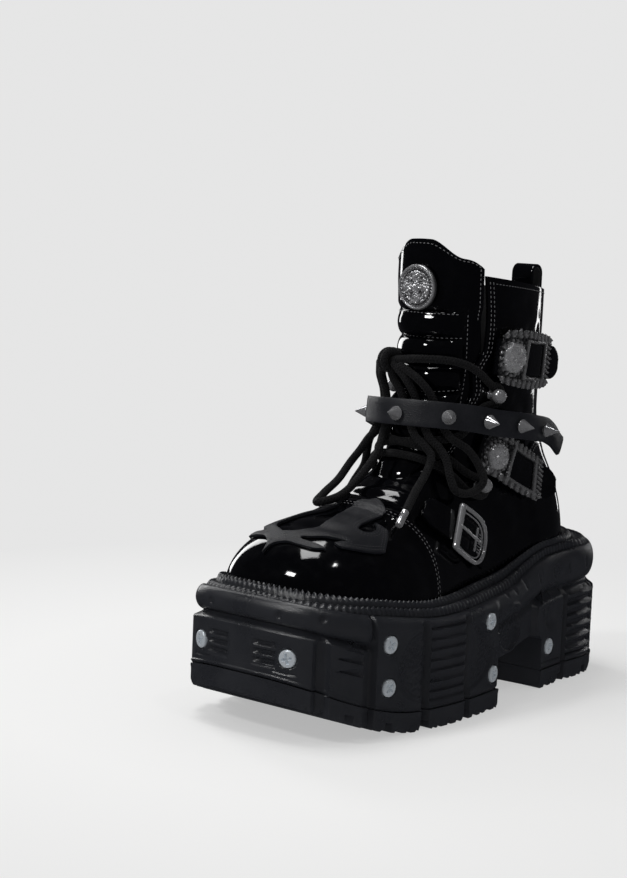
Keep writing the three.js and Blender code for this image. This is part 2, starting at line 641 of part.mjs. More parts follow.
function makeOrnateBuckle(rows, half, drop) {
  const wide = rows.map((r) => ({ ...r, lift: ornate.base, half }));
  const frame = solidOf(band(wide, ornate.thickness, ornate.from, ornate.to, 8));
  const opening = solidOf(band(wide.map((r) => ({ ...r, lift: ornate.base - 2 })), ornate.thickness + 4,
    ornate.windowFrom, ornate.windowTo, 4, 0.68));
  const b = bandAt(wide, 0.17);
  const dome = new THREE.SphereGeometry(8.5, 12, 6).scale(1, 1.2, 0.28);
  standOn(dome, b.raised.addScaledVector(b.side, -drop), b.out, ornate.thickness);
  return fromSolid(frame.subtract(opening).add(solidOf(dome)));
}
function makeVampBuckle() {
  const b = bandAt(strapRows.vamp, 0.58);
  const place = new THREE.Matrix4().makeBasis(b.side, b.along, b.side.clone().cross(b.along));
  place.setPosition(b.raised.addScaledVector(b.out, 5.8));
  const corner = (x, y) => new THREE.Vector3(x, y, 0);
  const loop = new THREE.CatmullRomCurve3([
    corner(13.5, 9), corner(10, 14.5), corner(-10, 14.5), corner(-13.5, 9),
    corner(-13.5, -9), corner(-10, -14.5), corner(10, -14.5), corner(13.5, -9),
  ], true, 'catmullrom', 0.4);
  const flat = new THREE.Vector3(0, 0, 1);
  const rings = range(24).map((i) => {
    const p = loop.getPointAt(i / 24);
    const sideways = loop.getTangentAt(i / 24).cross(flat);
    return range(8).map((k) => {
      const a = (k / 8) * 2 * Math.PI;
      return p.clone().addScaledVector(sideways, 1.5 * Math.cos(a)).addScaledVector(flat, 1.5 * Math.sin(a));
    });
  });
  const ring = loft(rings, { looped: true });
  const prong = new THREE.BoxGeometry(2, 30, 1.6).translate(0, 0, 0.6);
  return fromSolid(solidOf(ring).add(solidOf(prong))).applyMatrix4(place);
}

// Cone spike: a disc, a neck and a tip.
const spikeProfile = [[0, 0], [4.4, 0], [4.4, 1], [2.3, 1.4], [2.3, 2.6], [4.1, 3.6], [0, 12]];
const spikeSpots = [
  { name: 'low', t: 0.08 }, { name: 'mid', t: 0.2 },
  { name: 'front_medial', t: 0.4 }, { name: 'front', t: 0.53 }, { name: 'front_lateral', t: 0.598 },
  { name: 'side', t: 0.664 }, { name: 'side_back', t: 0.76 }, { name: 'back', t: 0.893 },
];
function makeSpike(t) {
  const b = bandAt(strapRows.ankle, t);
  return standOn(lathe(spikeProfile, 10), b.raised, b.out, strapThickness + 0.6);
}

// Ball studs, two a side.
const studs = {
  upper: { z: 173.5, angle: 53.6 },
  lower: { z: 121.5, angle: 41 },
};
const ball = { radius: 4.2, height: 6.6, post: 1.8 };
function makeStud(spot, side) {
  const p = ankle(spot.z, spot.angle * side);
  const profile = [[0, 0], [3.2, 0], [3.2, 0.6], [ball.post, 1]];
  const arc = spaced(-64, 90, 6).map((a) => [
    ball.radius * Math.cos(radians(a)),
    ball.height + ball.radius * Math.sin(radians(a)),
  ]);
  arc[arc.length - 1][0] = 0;
  return standOn(lathe([...profile, ...arc], 10), p, normalAt(p), 2 * gap);
}

// ---- lace ----
// The lace rides a little over a radius off the quarters, and higher where it crosses the rolls.
const rideLow = 2.65;
const rideHigh = 4.4;
const hookRadius = 5.45;
// Round the back of a stud, from below to above or the other way.
function hook(spot, side, rising) {
  const p = ankle(spot.z, spot.angle * side);
  const out = normalAt(p);
  const up = new THREE.Vector3(0, 0, 1).addScaledVector(out, -out.z).normalize();
  const away = up.clone().cross(out).multiplyScalar(side);
  if (away.y < 0) away.negate();
  const turns = spaced(-105, 105, 6).map((a) => p.clone()
    .addScaledVector(up, hookRadius * Math.sin(radians(a)))
    .addScaledVector(away, hookRadius * Math.cos(radians(a)))
    .addScaledVector(out, rideLow));
  return rising ? turns : turns.reverse();
}
const knotSpot = { z: 191, angle: -11, lift: 9.8 };
function crossingRoute(side) {
  const at = (z, a, lift) => over(z, a, lift);
  const meet = at(knotSpot.z, knotSpot.angle, knotSpot.lift);
  const near = side > 0
    ? [at(186.5, 39, 3.2), at(191, 29.5, rideHigh), at(193, 20, rideHigh + 0.4), at(193, 5, 7)]
    : [at(187, -41, 3.2), at(190.5, -34, rideHigh + 0.5), at(192, -24, 7.4)];
  return [
    at(137, 0, rideHigh), at(135.5, 11 * -side, rideHigh),
    at(130.5, 22 * -side, rideHigh), at(119.5, 32.5 * -side, rideLow + 0.6),
    ...hook(studs.lower, -side, true),
    at(129.5, 32.5 * -side, rideLow + 0.6), at(137.5, 22 * -side, rideHigh),
    at(142.5, 11 * -side, rideHigh), at(144.5, 0, rideHigh),
    at(146.5, 15 * side, rideHigh), at(151, 29 * side, rideHigh),
    at(158.5, 35 * side, 4.2), at(166, 43.5 * side, rideLow),
    ...hook(studs.upper, side, true),
    ...near, meet,
  ].map((p) => p.toArray());
}
function makeCrossings() {
  const strands = [1, -1].map((side) => solidOf(cord(crossingRoute(side), laceRadius, 50)));
  return fromSolid(strands[0].add(strands[1]));
}
// A wrap round the two upper strands where they meet.
function makeKnot() {
  const centre = over(knotSpot.z, knotSpot.angle, knotSpot.lift);
  const before = over(192, -24, 7.4);
  const after = over(193, 5, 7);
  const g = new THREE.TorusGeometry(2 * laceRadius + 0.6, laceRadius, 8, 14);
  return standOn(g, centre, after.sub(before).normalize());
}
// Routes of the bow: height, angle and lift down from the knot.
const bowRows = {
  loop_lateral: [
    [181, -1, 8.5], [172, 4, 5.2], [162, 8, 4.8], [154.5, 11, 6.4], [146.5, 14.5, 9.5], [140, 18.5, 10.4],
    [131, 21.5, 10], [124, 23.5, 8.8], [118.8, 25.5, 8], [117, 28.8, 8.6], [118.8, 32.4, 10.8],
    [122.5, 34, 13.8], [132, 34, 12.4],
    [142, 30, 10.5], [148, 23, 9.5], [154.5, 19.5, 6.8], [162, 17, 4.8], [172, 13, 5.2], [180.5, 6.5, 8],
  ],
  end_lateral: [
    [180.5, -9, 8.5], [172, -4, 5.2], [162, 0.5, 4.8], [155, 4.5, 6.4], [147.5, 8.5, 9.2], [141.7, 12.5, 10.4],
    [134.3, 16, 10], [126.4, 16.4, 7.6], [118.5, 15.6, 6.2], [109, 15.4, 5.6],
  ],
  loop_medial: [
    [181, -28, 9.5], [172, -26, 6.4], [162, -23, 5.2], [155, -18, 6.8], [147, -15, 9.4],
    [142.5, -16, 11.4], [131.8, -19, 13], [123.5, -20, 13.5], [116, -18, 10.5],
    [111, -12.5, 6.8], [109.5, -6.5, 4.6], [113.5, -4, 4.2], [122.5, -4.5, 6], [132.5, -5, 10],
    [141.7, -6, 10.6], [147, -7.5, 9.4], [155, -10, 6.8], [162, -14, 5], [172, -19, 6], [181, -21.5, 9],
  ],
  end_medial: [
    [180, -35, 9], [172, -34, 6.4], [162, -31, 5], [155, -25.3, 6.9], [146, -23, 9.9],
    [141, -22, 10.8], [133, -24, 10.6], [125, -24.5, 9.4], [116, -23, 7.6], [108, -22.5, 6],
  ],
};
const bowRoute = (rows) => rows.map(([z, a, lift]) => over(z, a, lift).toArray());
function makeAglet(rows) {
  const [a, b] = rows.slice(-2).map(([z, angle, lift]) => over(z, angle, lift));
  const down = b.clone().sub(a).normalize();
  return standOn(cylinder(2.1, 12, 10), b, down, 6 + gap);
}

// ---- fittings ----
function makeMedallion() {
  const p = skin(0.962, 0);
  return standOn(lathe([[0, 0], [12.6, 0], [13, 0.8], [13, 2.2], [12, 3], [10.6, 2.4], [8, 3.2], [0, 4.4]], 20),
    p, normalAt(p), gap + 0.4);
}
function makePullLoop() {
  const back = skin(1, 180);
  const shape = new THREE.Shape();
  const rise = 16;
  const drop = 22;
  const outer = 4.4;
  const inner = -7.4;
  const thick = 2.4;
  const round = (low, high, top) => {
    const middle = (low + high) / 2;
    const r = (high - low) / 2;
    return spaced(180, 0, 10).map((a) => new THREE.Vector2(
      middle + r * Math.cos(radians(a)),
      top - r + r * Math.sin(radians(a)),
    ));
  };
  shape.setFromPoints([
    new THREE.Vector2(inner, -drop), ...round(inner, outer, rise), new THREE.Vector2(outer, -drop),
    new THREE.Vector2(outer - thick, -drop),
    ...round(inner + thick, outer - thick, rise - thick).reverse(),
    new THREE.Vector2(inner + thick, -drop),
  ]);
  const g = new THREE.ExtrudeGeometry(shape, { depth: 15, bevelEnabled: false });
  return g.translate(0, 0, -7.5).rotateX(Math.PI / 2).rotateZ(Math.PI / 2).translate(0, back.y, back.z);
}
const zipTop = 0.97;
// The slider's own frame: on the medial skin, n out, up, and along the zip's tangent.
const sliderPlace = (() => {
  const p = skin(zipTop, zipAngle(zipTop));
  const out = normalAt(p).setZ(0).normalize();
  const up = new THREE.Vector3(0, 0, 1);
  return new THREE.Matrix4().makeBasis(up.clone().cross(out), up, out).setPosition(p);
})();
const pin = { radius: 0.9, out: 6.2, z: -1 };
function makeSlider() {
  const body = solidOf(new THREE.BoxGeometry(8, 12, 2.8).translate(0, 0, 1.9));
  const post = (x) => solidOf(new THREE.BoxGeometry(1.2, 4, 5).translate(x, pin.z, 4.8));
  const rod = new THREE.CylinderGeometry(pin.radius, pin.radius, 5.6, 12).rotateZ(Math.PI / 2);
  const bar = solidOf(rod.translate(0, pin.z, pin.out));
  return fromSolid(body.add(post(2.6)).add(post(-2.6)).add(bar)).applyMatrix4(sliderPlace);
}
function makePull() {
  const eye = solidOf(new THREE.CylinderGeometry(2.5, 2.5, 3, 16).rotateZ(Math.PI / 2));
  const neck = solidOf(new THREE.BoxGeometry(3, 6, 1.6).translate(0, -4.2, 0));
  const leaf = solidOf(new THREE.BoxGeometry(5.2, 13, 1.6).translate(0, -12.5, 0));
  const bore = solidOf(
    new THREE.CylinderGeometry(pin.radius + 0.35, pin.radius + 0.35, 6, 16).rotateZ(Math.PI / 2),
  );
  return fromSolid(eye.add(neck).add(leaf).subtract(bore)).translate(0, pin.z, pin.out).applyMatrix4(sliderPlace);
}

add('midsole', makeMidsole(), rubber);
add('outsole_forefoot', makeTread(-soleHalfLength - 1, archFront), rubber);
add('outsole_heel', makeTread(archBack, soleHalfLength + 1), rubber);
add('welt', makeWelt(), rubber);
add('insole', makeInsole(), lining);
add('upper', makeUpper(), patent);
add('tongue', makeTongue(), patent);
for (const side of [1, -1]) {
  for (const spot of screwSpots) {
    add(`screw_${side > 0 ? 'lateral' : 'medial'}_${spot.name}`, makeScrew(spot, side), zinc);
  }
}
add('zip', zipPatch(zipHalf, zipBottom + 0.01, 0.995, -2.2, -0.3), lining);
add('zip_slider', makeSlider(), steel);
add('zip_pull', makePull(), steel);
add('pull_loop', makePullLoop(), patent);
add('medallion', makeMedallion(), steel);
add('strap_upper', band(strapRows.upper, strapThickness, 0, 1, 14), patent);
add('strap_middle', band(strapRows.middle, strapThickness, 0, 1, 14), patent);
add('strap_vamp', band(strapRows.vamp, strapThickness, 0, 1, 10), patent);
add('buckle_upper', makeOrnateBuckle(strapRows.upper, 15, 0), darkSteel);
add('buckle_middle', makeOrnateBuckle(strapRows.middle, 13, 2.5), darkSteel);
add('buckle_vamp', makeVampBuckle(), steel);
add('ankle_strap', band(strapRows.ankle, strapThickness, 0, 1, 34), matteLeather);
for (const spot of spikeSpots) add(`spike_${spot.name}`, makeSpike(spot.t), steel);
for (const side of [1, -1]) {
  const name = side > 0 ? 'lateral' : 'medial';
  add(`stud_upper_${name}`, makeStud(studs.upper, side), steel);
  add(`stud_lower_${name}`, makeStud(studs.lower, side), steel);
}
add('lace_crossings', makeCrossings(), laceBlack);
add('lace_knot', makeKnot(), laceBlack);
add('lace_loop_lateral', cord(bowRoute(bowRows.loop_lateral), laceRadius, 34), laceBlack);
add('lace_loop_medial', cord(bowRoute(bowRows.loop_medial), laceRadius, 34), laceBlack);
add('lace_end_lateral', cord(bowRoute(bowRows.end_lateral), laceRadius, 16), laceBlack);
add('lace_end_medial', cord(bowRoute(bowRows.end_medial), laceRadius, 16), laceBlack);
add('aglet_lateral', makeAglet(bowRows.end_lateral), steel);
add('aglet_medial', makeAglet(bowRows.end_medial), steel);

export default boot;
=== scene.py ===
import bpy
import bmesh
import json
import math
import numpy as np
from mathutils import Matrix, Vector

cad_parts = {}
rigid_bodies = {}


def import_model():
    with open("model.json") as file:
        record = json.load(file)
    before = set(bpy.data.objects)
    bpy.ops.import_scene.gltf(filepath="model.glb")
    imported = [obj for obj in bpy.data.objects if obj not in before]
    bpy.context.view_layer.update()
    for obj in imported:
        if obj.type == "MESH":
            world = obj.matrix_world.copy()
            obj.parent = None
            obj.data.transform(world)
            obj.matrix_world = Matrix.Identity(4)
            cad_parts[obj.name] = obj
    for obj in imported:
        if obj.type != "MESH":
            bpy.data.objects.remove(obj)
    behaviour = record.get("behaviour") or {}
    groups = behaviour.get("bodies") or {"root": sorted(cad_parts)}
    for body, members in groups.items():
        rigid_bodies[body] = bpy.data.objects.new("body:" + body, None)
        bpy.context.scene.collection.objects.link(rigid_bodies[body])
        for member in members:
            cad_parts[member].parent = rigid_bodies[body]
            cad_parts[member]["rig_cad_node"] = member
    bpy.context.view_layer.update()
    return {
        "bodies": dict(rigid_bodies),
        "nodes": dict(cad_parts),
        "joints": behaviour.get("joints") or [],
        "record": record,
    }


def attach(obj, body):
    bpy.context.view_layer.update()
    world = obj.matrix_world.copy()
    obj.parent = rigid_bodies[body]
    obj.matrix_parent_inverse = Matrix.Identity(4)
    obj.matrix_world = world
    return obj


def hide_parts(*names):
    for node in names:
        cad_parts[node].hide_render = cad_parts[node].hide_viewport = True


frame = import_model()
mm = 0.001
print('frame loaded')

# camera, lights and floor
cameraSetup = dict(azimuth=36.9, elevation=7.75, distance=1.14, target=(0, 0, 0.12), roll=2.84,
                   lens=81.5945, sensor=36, aside=(0.0531156, 0.0227638), nearest=0.05)
lightSetup = dict(
    keyBox=dict(azimuth=-14, elevation=36, distance=1.7, size=(0.32, 0.16), power=6.5),
    leftWall=dict(azimuth=-104, elevation=20, distance=1.5, size=(0.3, 1.2), power=5),
    rearRight=dict(azimuth=184, elevation=6, distance=1.4, size=(0.1, 0.5), power=0.5),
    overhead=dict(azimuth=-60, elevation=76, distance=1.5, size=(0.75, 0.5), power=7),
    rightFill=dict(azimuth=70, elevation=62, distance=1.8, size=(0.1, 0.1), power=1.1),
)
studioSetup = dict(backdrop=(0.79, 0.79, 0.79), mirrored=(0.018, 0.018, 0.02), soft=(0.3, 0.3, 0.3),
                   paper=(0.55, 0.55, 0.545), lift=(0.43, 0.43, 0.43), fade=(0.24, 0.5), floorReach=6)


# the direction from the middle of the boot that a camera or a light stands in
def directionOf(setup):
    a, e = math.radians(setup['azimuth']), math.radians(setup['elevation'])
    return Vector((math.sin(a) * math.cos(e), -math.cos(a) * math.cos(e), math.sin(e)))


def aimCamera(setup):
    back = directionOf(setup)
    right = (-back).cross(Vector((0, 0, 1))).normalized()
    up = right.cross(-back)
    turn = math.radians(setup['roll'])
    right, up = right * math.cos(turn) + up * math.sin(turn), up * math.cos(turn) - right * math.sin(turn)
    # the target stands right of the middle and below it, so the lens looks a little past it
    sideways, lower = setup['aside']
    look = (-back - right * sideways + up * lower).normalized()
    right = (right - look * right.dot(look)).normalized()
    up = right.cross(look)
    data = bpy.data.cameras.new('bootCamera')
    data.lens, data.sensor_width, data.clip_start = setup['lens'], setup['sensor'], setup['nearest']
    cam = bpy.data.objects.new('bootCamera', data)
    bpy.context.scene.collection.objects.link(cam)
    place = Matrix((right, up, -look)).transposed().to_4x4()
    place.translation = Vector(setup['target']) + back * setup['distance']
    cam.matrix_world = place
    bpy.context.scene.camera = cam


def placeLight(name, setup):
    back = directionOf(setup)
    data = bpy.data.lights.new(name, 'AREA')
    data.shape = 'RECTANGLE'
    data.size, data.size_y = setup['size']
    data.energy = setup['power']
    lamp = bpy.data.objects.new(name, data)
    lamp.location = Vector(cameraSetup['target']) + back * setup['distance']
    lamp.visible_camera = False
    lamp.rotation_mode = 'QUATERNION'
    lamp.rotation_quaternion = back.to_track_quat('Z', 'Y')
    bpy.context.scene.collection.objects.link(lamp)


# a new shader node with its attributes set, and the values of its inputs by name or number
def addNode(tree, kind, values=None, **settings):
    made = tree.nodes.new('ShaderNode' + kind)
    for name, value in settings.items():
        setattr(made, name, value)
    for name, value in (values or {}).items():
        made.inputs[name].default_value = value
    return made


# each row: a node, its output, the next node and that one's input
def join(tree, *rows):
    for source, given, target, taken in rows:
        tree.links.new(source.outputs[given], target.inputs[taken])


# the camera sees a pale backdrop, reflections see a dark room and everything else a soft grey one
def makeWorld(setup):
    world = bpy.data.worlds.new('studio')
    bpy.context.scene.world = world
    world.use_nodes = True
    tree = world.node_tree
    tree.nodes.clear()
    path = addNode(tree, 'LightPath')
    pale, dark, soft = (addNode(tree, 'Background', {'Color': (*setup[name], 1)})
                        for name in ('backdrop', 'mirrored', 'soft'))
    first, second, out = addNode(tree, 'MixShader'), addNode(tree, 'MixShader'), addNode(tree, 'OutputWorld')
    join(tree, (path, 'Is Glossy Ray', first, 'Fac'), (soft, 0, first, 1), (dark, 0, first, 2),
         (path, 'Is Camera Ray', second, 'Fac'), (first, 0, second, 1), (pale, 0, second, 2),
         (second, 0, out, 'Surface'))


# pale paper that keeps the boot's soft shadow near it and fades to the backdrop further out
def makeFloor(setup):
    bm = bmesh.new()
    bmesh.ops.create_grid(bm, x_segments=1, y_segments=1, size=setup['floorReach'])
    mesh = bpy.data.meshes.new('floor')
    bm.to_mesh(mesh)
    bm.free()
    floor = bpy.data.objects.new('floor', mesh)
    bpy.context.scene.collection.objects.link(floor)
    floor.visible_glossy = False
    mat = bpy.data.materials.new('paperFloor')
    mat.use_nodes = True
    tree = mat.node_tree
    tree.nodes.clear()
    where, away = addNode(tree, 'TexCoord'), addNode(tree, 'VectorMath', operation='LENGTH')
    fade = addNode(tree, 'MapRange', {'From Min': setup['fade'][0], 'From Max': setup['fade'][1]})
    paper = addNode(tree, 'BsdfDiffuse', {'Color': (*setup['paper'], 1)})
    glow, lift = (addNode(tree, 'Emission', {'Color': (*setup[name], 1)}) for name in ('backdrop', 'lift'))
    near, mix, out = addNode(tree, 'AddShader'), addNode(tree, 'MixShader'), addNode(tree, 'OutputMaterial')
    join(tree, (where, 'Object', away, 0), (away, 'Value', fade, 'Value'), (paper, 0, near, 0),
         (lift, 0, near, 1),
         (fade, 'Result', mix, 'Fac'), (near, 0, mix, 1), (glow, 0, mix, 2), (mix, 0, out, 'Surface'))
    mesh.materials.append(mat)


aimCamera(cameraSetup)
for name, setup in lightSetup.items():
    placeLight(name, setup)
bpy.context.scene.view_settings.view_transform = 'Standard'
makeWorld(studioSetup)
makeFloor(studioSetup)
print('camera, lights and floor ready')

# the last: a foot body and a leg body blended at the instep, in millimetres
lastShape = dict(
    feather=[(-148, 74), (-100, 65), (-45, 59), (20, 64), (75, 77), (148, 80)],
    foot=[(-131, 45, 45, 102, -4), (-95, 48, 46, 106, -2), (-60, 49, 43, 114, 0), (-30, 45, 39, 129, 0),
          (0, 40, 35, 146, 0), (40, 37, 33, 152, 0), (116, 35, 33, 140, 0)],
    leg=[(55, 10, 115, 33), (85, 2, 117, 34), (100, -6, 116, 34), (115, -12, 111, 33), (135, -14, 105, 32),
         (160, -12, 101, 33), (190, -8, 99, 35), (226, -9, 99, 36), (280, -11, 100, 36)],
    loops=[(0, -131, 71, 79.7), (0.05, -130, 84, 87), (0.1, -123, 95, 94.5), (0.2, -98, 103, 109),
           (0.3, -76, 109, 124), (0.4, -56, 117, 138), (0.5, -38, 128, 153), (0.6, -24, 145, 167),
           (0.7, -15, 167, 183), (0.8, -11, 191, 199), (1, -9, 243, 231), (1.15, -10, 285, 250)],
    toe=(-89, 42, 2.4), heel=(82, 35, 2.2), footPower=2.4, crown=2.1, legPower=2.15, legTaper=0.22, blend=9,
)


# monotone cubic through one column of a short table
def read(rows, at, col=1):
    x = np.array([row[0] for row in rows], float)
    y = np.array([row[col] for row in rows], float)
    slope = np.diff(y) / np.diff(x)
    total = slope[:-1] + slope[1:]
    product = slope[:-1] * slope[1:]
    inner = np.where(product <= 0, 0, 2 * product / np.where(total == 0, 1, total))
    tangent = np.concatenate([slope[:1], inner, slope[-1:]])
    at = np.clip(at, x[0], x[-1])
    i = np.clip(np.searchsorted(x, at, side='right') - 1, 0, len(x) - 2)
    h = x[i + 1] - x[i]
    t = (at - x[i]) / h
    t2, t3 = t * t, t * t * t
    return ((2 * t3 - 3 * t2 + 1) * y[i] + (t3 - 2 * t2 + t) * h * tangent[i]
            + (3 * t2 - 2 * t3) * y[i + 1] + (t3 - t2) * h * tangent[i + 1])


def smoothStep(x, a, b):
    t = np.clip((x - a) / (b - a), 0, 1)
    return t * t * (3 - 2 * t)


def between(x, a, b, soft):
    return smoothStep(x, a - soft, a + soft) * (1 - smoothStep(x, b - soft, b + soft))


def feather(y):
    return read(lastShape['feather'], y)


def lastField(x, y, z):
    s = lastShape
    base = feather(y)
    side = x - read(s['foot'], y, 4)
    half = np.where(side > 0, read(s['foot'], y, 1), read(s['foot'], y, 2))
    up = np.maximum(0, z - base) / (read(s['foot'], y, 3) - base)
    toe = np.maximum(0, s['toe'][0] - y) / s['toe'][1]
    heel = np.maximum(0, y - s['heel'][0]) / s['heel'][1]
    total = np.abs(side / half) ** s['footPower'] + up ** s['crown'] + toe ** s['toe'][2] + heel ** s['heel'][2]
    foot = (total ** (1 / s['footPower']) - 1) * 40
    front, back = read(s['leg'], z, 1), read(s['leg'], z, 2)
    along = (y - (front + back) / 2) / ((back - front) / 2)
    rear = np.clip((along + 1) / 2, 0, 1)
    half = read(s['leg'], z, 3) * (1 - s['legTaper'] * rear * rear)
    total = np.abs(x / half) ** s['legPower'] + np.abs(along) ** s['legPower']
    leg = (total ** (1 / s['legPower']) - 1) * 42
    mix = np.maximum(0, s['blend'] - np.abs(foot - leg)) / s['blend']
    return np.minimum(foot, leg) - mix * mix * s['blend'] / 4


def normalAt(p):
    e = 0.4
    x, y, z = p[..., 0], p[..., 1], p[..., 2]
    n = np.stack([lastField(x + e, y, z) - lastField(x - e, y, z),
                  lastField(x, y + e, z) - lastField(x, y - e, z),
                  lastField(x, y, z + e) - lastField(x, y, z - e)], axis=-1)
    return unit(n)


def unit(n):
    return n / np.maximum(1e-12, np.linalg.norm(n, axis=-1, keepdims=True))


# walks out along path(r) to the skin
def cast(path, shape):
    low, high = np.zeros(shape), np.full(shape, 200.0)
    for turn in range(25):
        mid = (low + high) / 2
        inside = lastField(*path(mid)) < 0
        low, high = np.where(inside, mid, low), np.where(inside, high, mid)
    return np.stack(path((low + high) / 2), axis=-1)


# skin at loop v (0 feather line, 1 collar) and angle a (0 front, 90 lateral, 180 back, -90 medial)
def skin(v, a):
    v, a = np.broadcast_arrays(np.asarray(v, float), np.asarray(a, float))
    rows = lastShape['loops']
    frontY, frontZ, backZ = read(rows, v, 1), read(rows, v, 2), read(rows, v, 3)
    backY = 118 - 20 * np.minimum(1, v)
    sag = np.maximum(0, 1 - v / 0.4)
    low, high = feather(frontY), feather(backY)

    def height(y):
        share = (y - frontY) / (backY - frontY)
        return frontZ + (backZ - frontZ) * share + sag * (feather(y) - low - (high - low) * share)

    dx, dy = np.sin(np.radians(a)) * 45, -np.cos(np.radians(a)) * (backY - frontY) / 2
    far = np.hypot(dx, dy)
    middle = (frontY + backY) / 2
    return cast(lambda r: (dx / far * r, middle + dy / far * r, height(middle + dy / far * r)), v.shape)


def legMiddle(z):
    return (read(lastShape['leg'], z, 1) + read(lastShape['leg'], z, 2)) / 2


# skin of the leg at a height, looking out from the middle of the ankle
def ankle(z, a):
    z, a = np.broadcast_arrays(np.asarray(z, float), np.asarray(a, float))
    middle = legMiddle(z)
    dx, dy = np.sin(np.radians(a)), -np.cos(np.radians(a))
    return cast(lambda r: (dx * r, middle + dy * r, z), z.shape)


def over(z, a, lift):
    p = ankle(z, a)
    return p + normalAt(p) * np.asarray(lift, float)[..., None]


# the top of the foot above a point of the plan
def topAt(x, y):
    x, y = np.broadcast_arrays(np.asarray(x, float), np.asarray(y, float))
    base = feather(y) + 5
    return cast(lambda r: (x, y, base + r), x.shape)


# angle on loop v that lies a given way round it from the front, from a table made once
def makeWayTable():
    vs = np.linspace(0, 1.15, 93)
    angles = np.linspace(0, 178, 179)
    ways = np.linspace(0, 190, 191)
    table = {}
    for side in (1, -1):
        p = skin(vs[:, None], angles[None, :] * side)
        steps = np.linalg.norm(np.diff(p, axis=1), axis=2)
        run = np.concatenate([np.zeros((len(vs), 1)), np.cumsum(steps, axis=1)], axis=1)
        table[side] = np.array([np.interp(ways, row, angles) for row in run])
    return vs, ways, table


wayVs, wayMms, wayTable = makeWayTable()


def angleAt(v, way):
    v, way = np.broadcast_arrays(np.asarray(v, float), np.asarray(way, float))
    side = np.where(way < 0, -1.0, 1.0)
    i = np.clip(v / wayVs[-1] * (len(wayVs) - 1), 0, len(wayVs) - 1.001)
    j = np.clip(np.abs(way), 0, len(wayMms) - 1.001)
    i0, j0 = i.astype(int), j.astype(int)
    fi, fj = i - i0, j - j0

    def corner(di, dj):
        return np.where(side > 0, wayTable[1][i0 + di, j0 + dj], wayTable[-1][i0 + di, j0 + dj])

    value = (corner(0, 0) * (1 - fi) * (1 - fj) + corner(1, 0) * fi * (1 - fj)
             + corner(0, 1) * (1 - fi) * fj + corner(1, 1) * fi * fj)
    return value * side


print('last ready')


edgeSegments, edgeAngle = 2, 55


# makes the object of a piece: its mesh, shading, wall thickness and rounded edges, and hides the parts that it
# replaces
def finishPiece(name, bm, looks, replaces=(), sharp=38, outward=False, solid=None, bevel=None):
    bmesh.ops.remove_doubles(bm, verts=bm.verts[:], dist=2e-6)
    bmesh.ops.dissolve_degenerate(bm, edges=bm.edges[:], dist=1e-7)
    if outward:
        bmesh.ops.recalc_face_normals(bm, faces=bm.faces[:])
    mesh = bpy.data.meshes.new(name)
    bm.to_mesh(mesh)
    bm.free()
    for look in looks:
        mesh.materials.append(materials[look])
    for polygon in mesh.polygons:
        polygon.use_smooth = True
    mesh.set_sharp_from_angle(angle=math.radians(sharp))
    piece = bpy.data.objects.new(name, mesh)
    bpy.context.scene.collection.objects.link(piece)
    if solid:
        wall = piece.modifiers.new('wall', 'SOLIDIFY')
        wall.thickness = solid['thickness'] * mm
        wall.offset = solid.get('offset', -1)
        wall.use_even_offset = solid.get('even', True)
        wall.material_offset = solid.get('inside', 0)
    if bevel:
        edge = piece.modifiers.new('edge', 'BEVEL')
        edge.width = bevel * mm
        edge.segments = edgeSegments
        edge.limit_method = 'ANGLE'
        edge.angle_limit = math.radians(edgeAngle)
    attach(piece, 'boot')
    if replaces:
        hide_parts(*replaces)
    return piece


# a sheet of quads laid by place(u, v), with u and v in its own uv map
def drape(across, upward, place, bm=None, drop=None):
    made = bm or bmesh.new()
    uvLayer = made.loops.layers.uv.get('UVMap') or made.loops.layers.uv.new('UVMap')
    grid = bmesh.ops.create_grid(made, x_segments=len(across) - 1, y_segments=len(upward) - 1,
                                 size=0.5)['verts']
    flat = np.array([v.co[:2] for v in grid]) + 0.5
    i = np.rint(flat[:, 0] * (len(across) - 1)).astype(int)
    j = np.rint(flat[:, 1] * (len(upward) - 1)).astype(int)
    u, v = np.asarray(across, float)[i], np.asarray(upward, float)[j]
    points = place(u, v) * mm
    uvAt = {}
    for vert, p, a, b in zip(grid, points.tolist(), u.tolist(), v.tolist()):
        vert.co = p
        uvAt[vert] = (a, b)
    faces = {face for vert in grid for face in vert.link_faces}
    for face in faces:
        for loop in face.loops:
            loop[uvLayer].uv = uvAt[loop.vert]
    if drop is not None:
        gone = []
        for face in faces:
            a = sum(uvAt[v][0] for v in face.verts) / len(face.verts)
            b = sum(uvAt[v][1] for v in face.verts) / len(face.verts)
            if drop(a, b):
                gone.append(face)
        bmesh.ops.delete(made, geom=gone, context='FACES')
    return made


def mixAt(a, b, low, high, t):
    return (high - t) / (high - low) * a + (t - low) / (high - low) * b


# evenly spaced points on a smooth line through a few points
def smoothLine(points, step=None, count=None, closed=False):
    p = np.asarray(points, float)
    if closed:
        p = np.concatenate([p[-1:], p, p[:2]])
    else:
        p = np.concatenate([2 * p[:1] - p[1:2], p, 2 * p[-1:] - p[-2:-1]])
    out = []
    for k in range(1, len(p) - 2):
        p0, p1, p2, p3 = p[k - 1:k + 3]
        knots = [0.0]
        for a, b in ((p0, p1), (p1, p2), (p2, p3)):
            knots.append(knots[-1] + max(1e-6, np.linalg.norm(b - a)) ** 0.5)
        k0, k1, k2, k3 = knots
        t = k1 + (k2 - k1) * np.linspace(0, 1, 12, endpoint=False)[:, None]
        a1, a2, a3 = mixAt(p0, p1, k0, k1, t), mixAt(p1, p2, k1, k2, t), mixAt(p2, p3, k2, k3, t)
        out.append(mixAt(mixAt(a1, a2, k0, k2, t), mixAt(a2, a3, k1, k3, t), k1, k2, t))
    line = np.concatenate(out + [p[-2][None, :]])
    return evenLine(line, step, count)


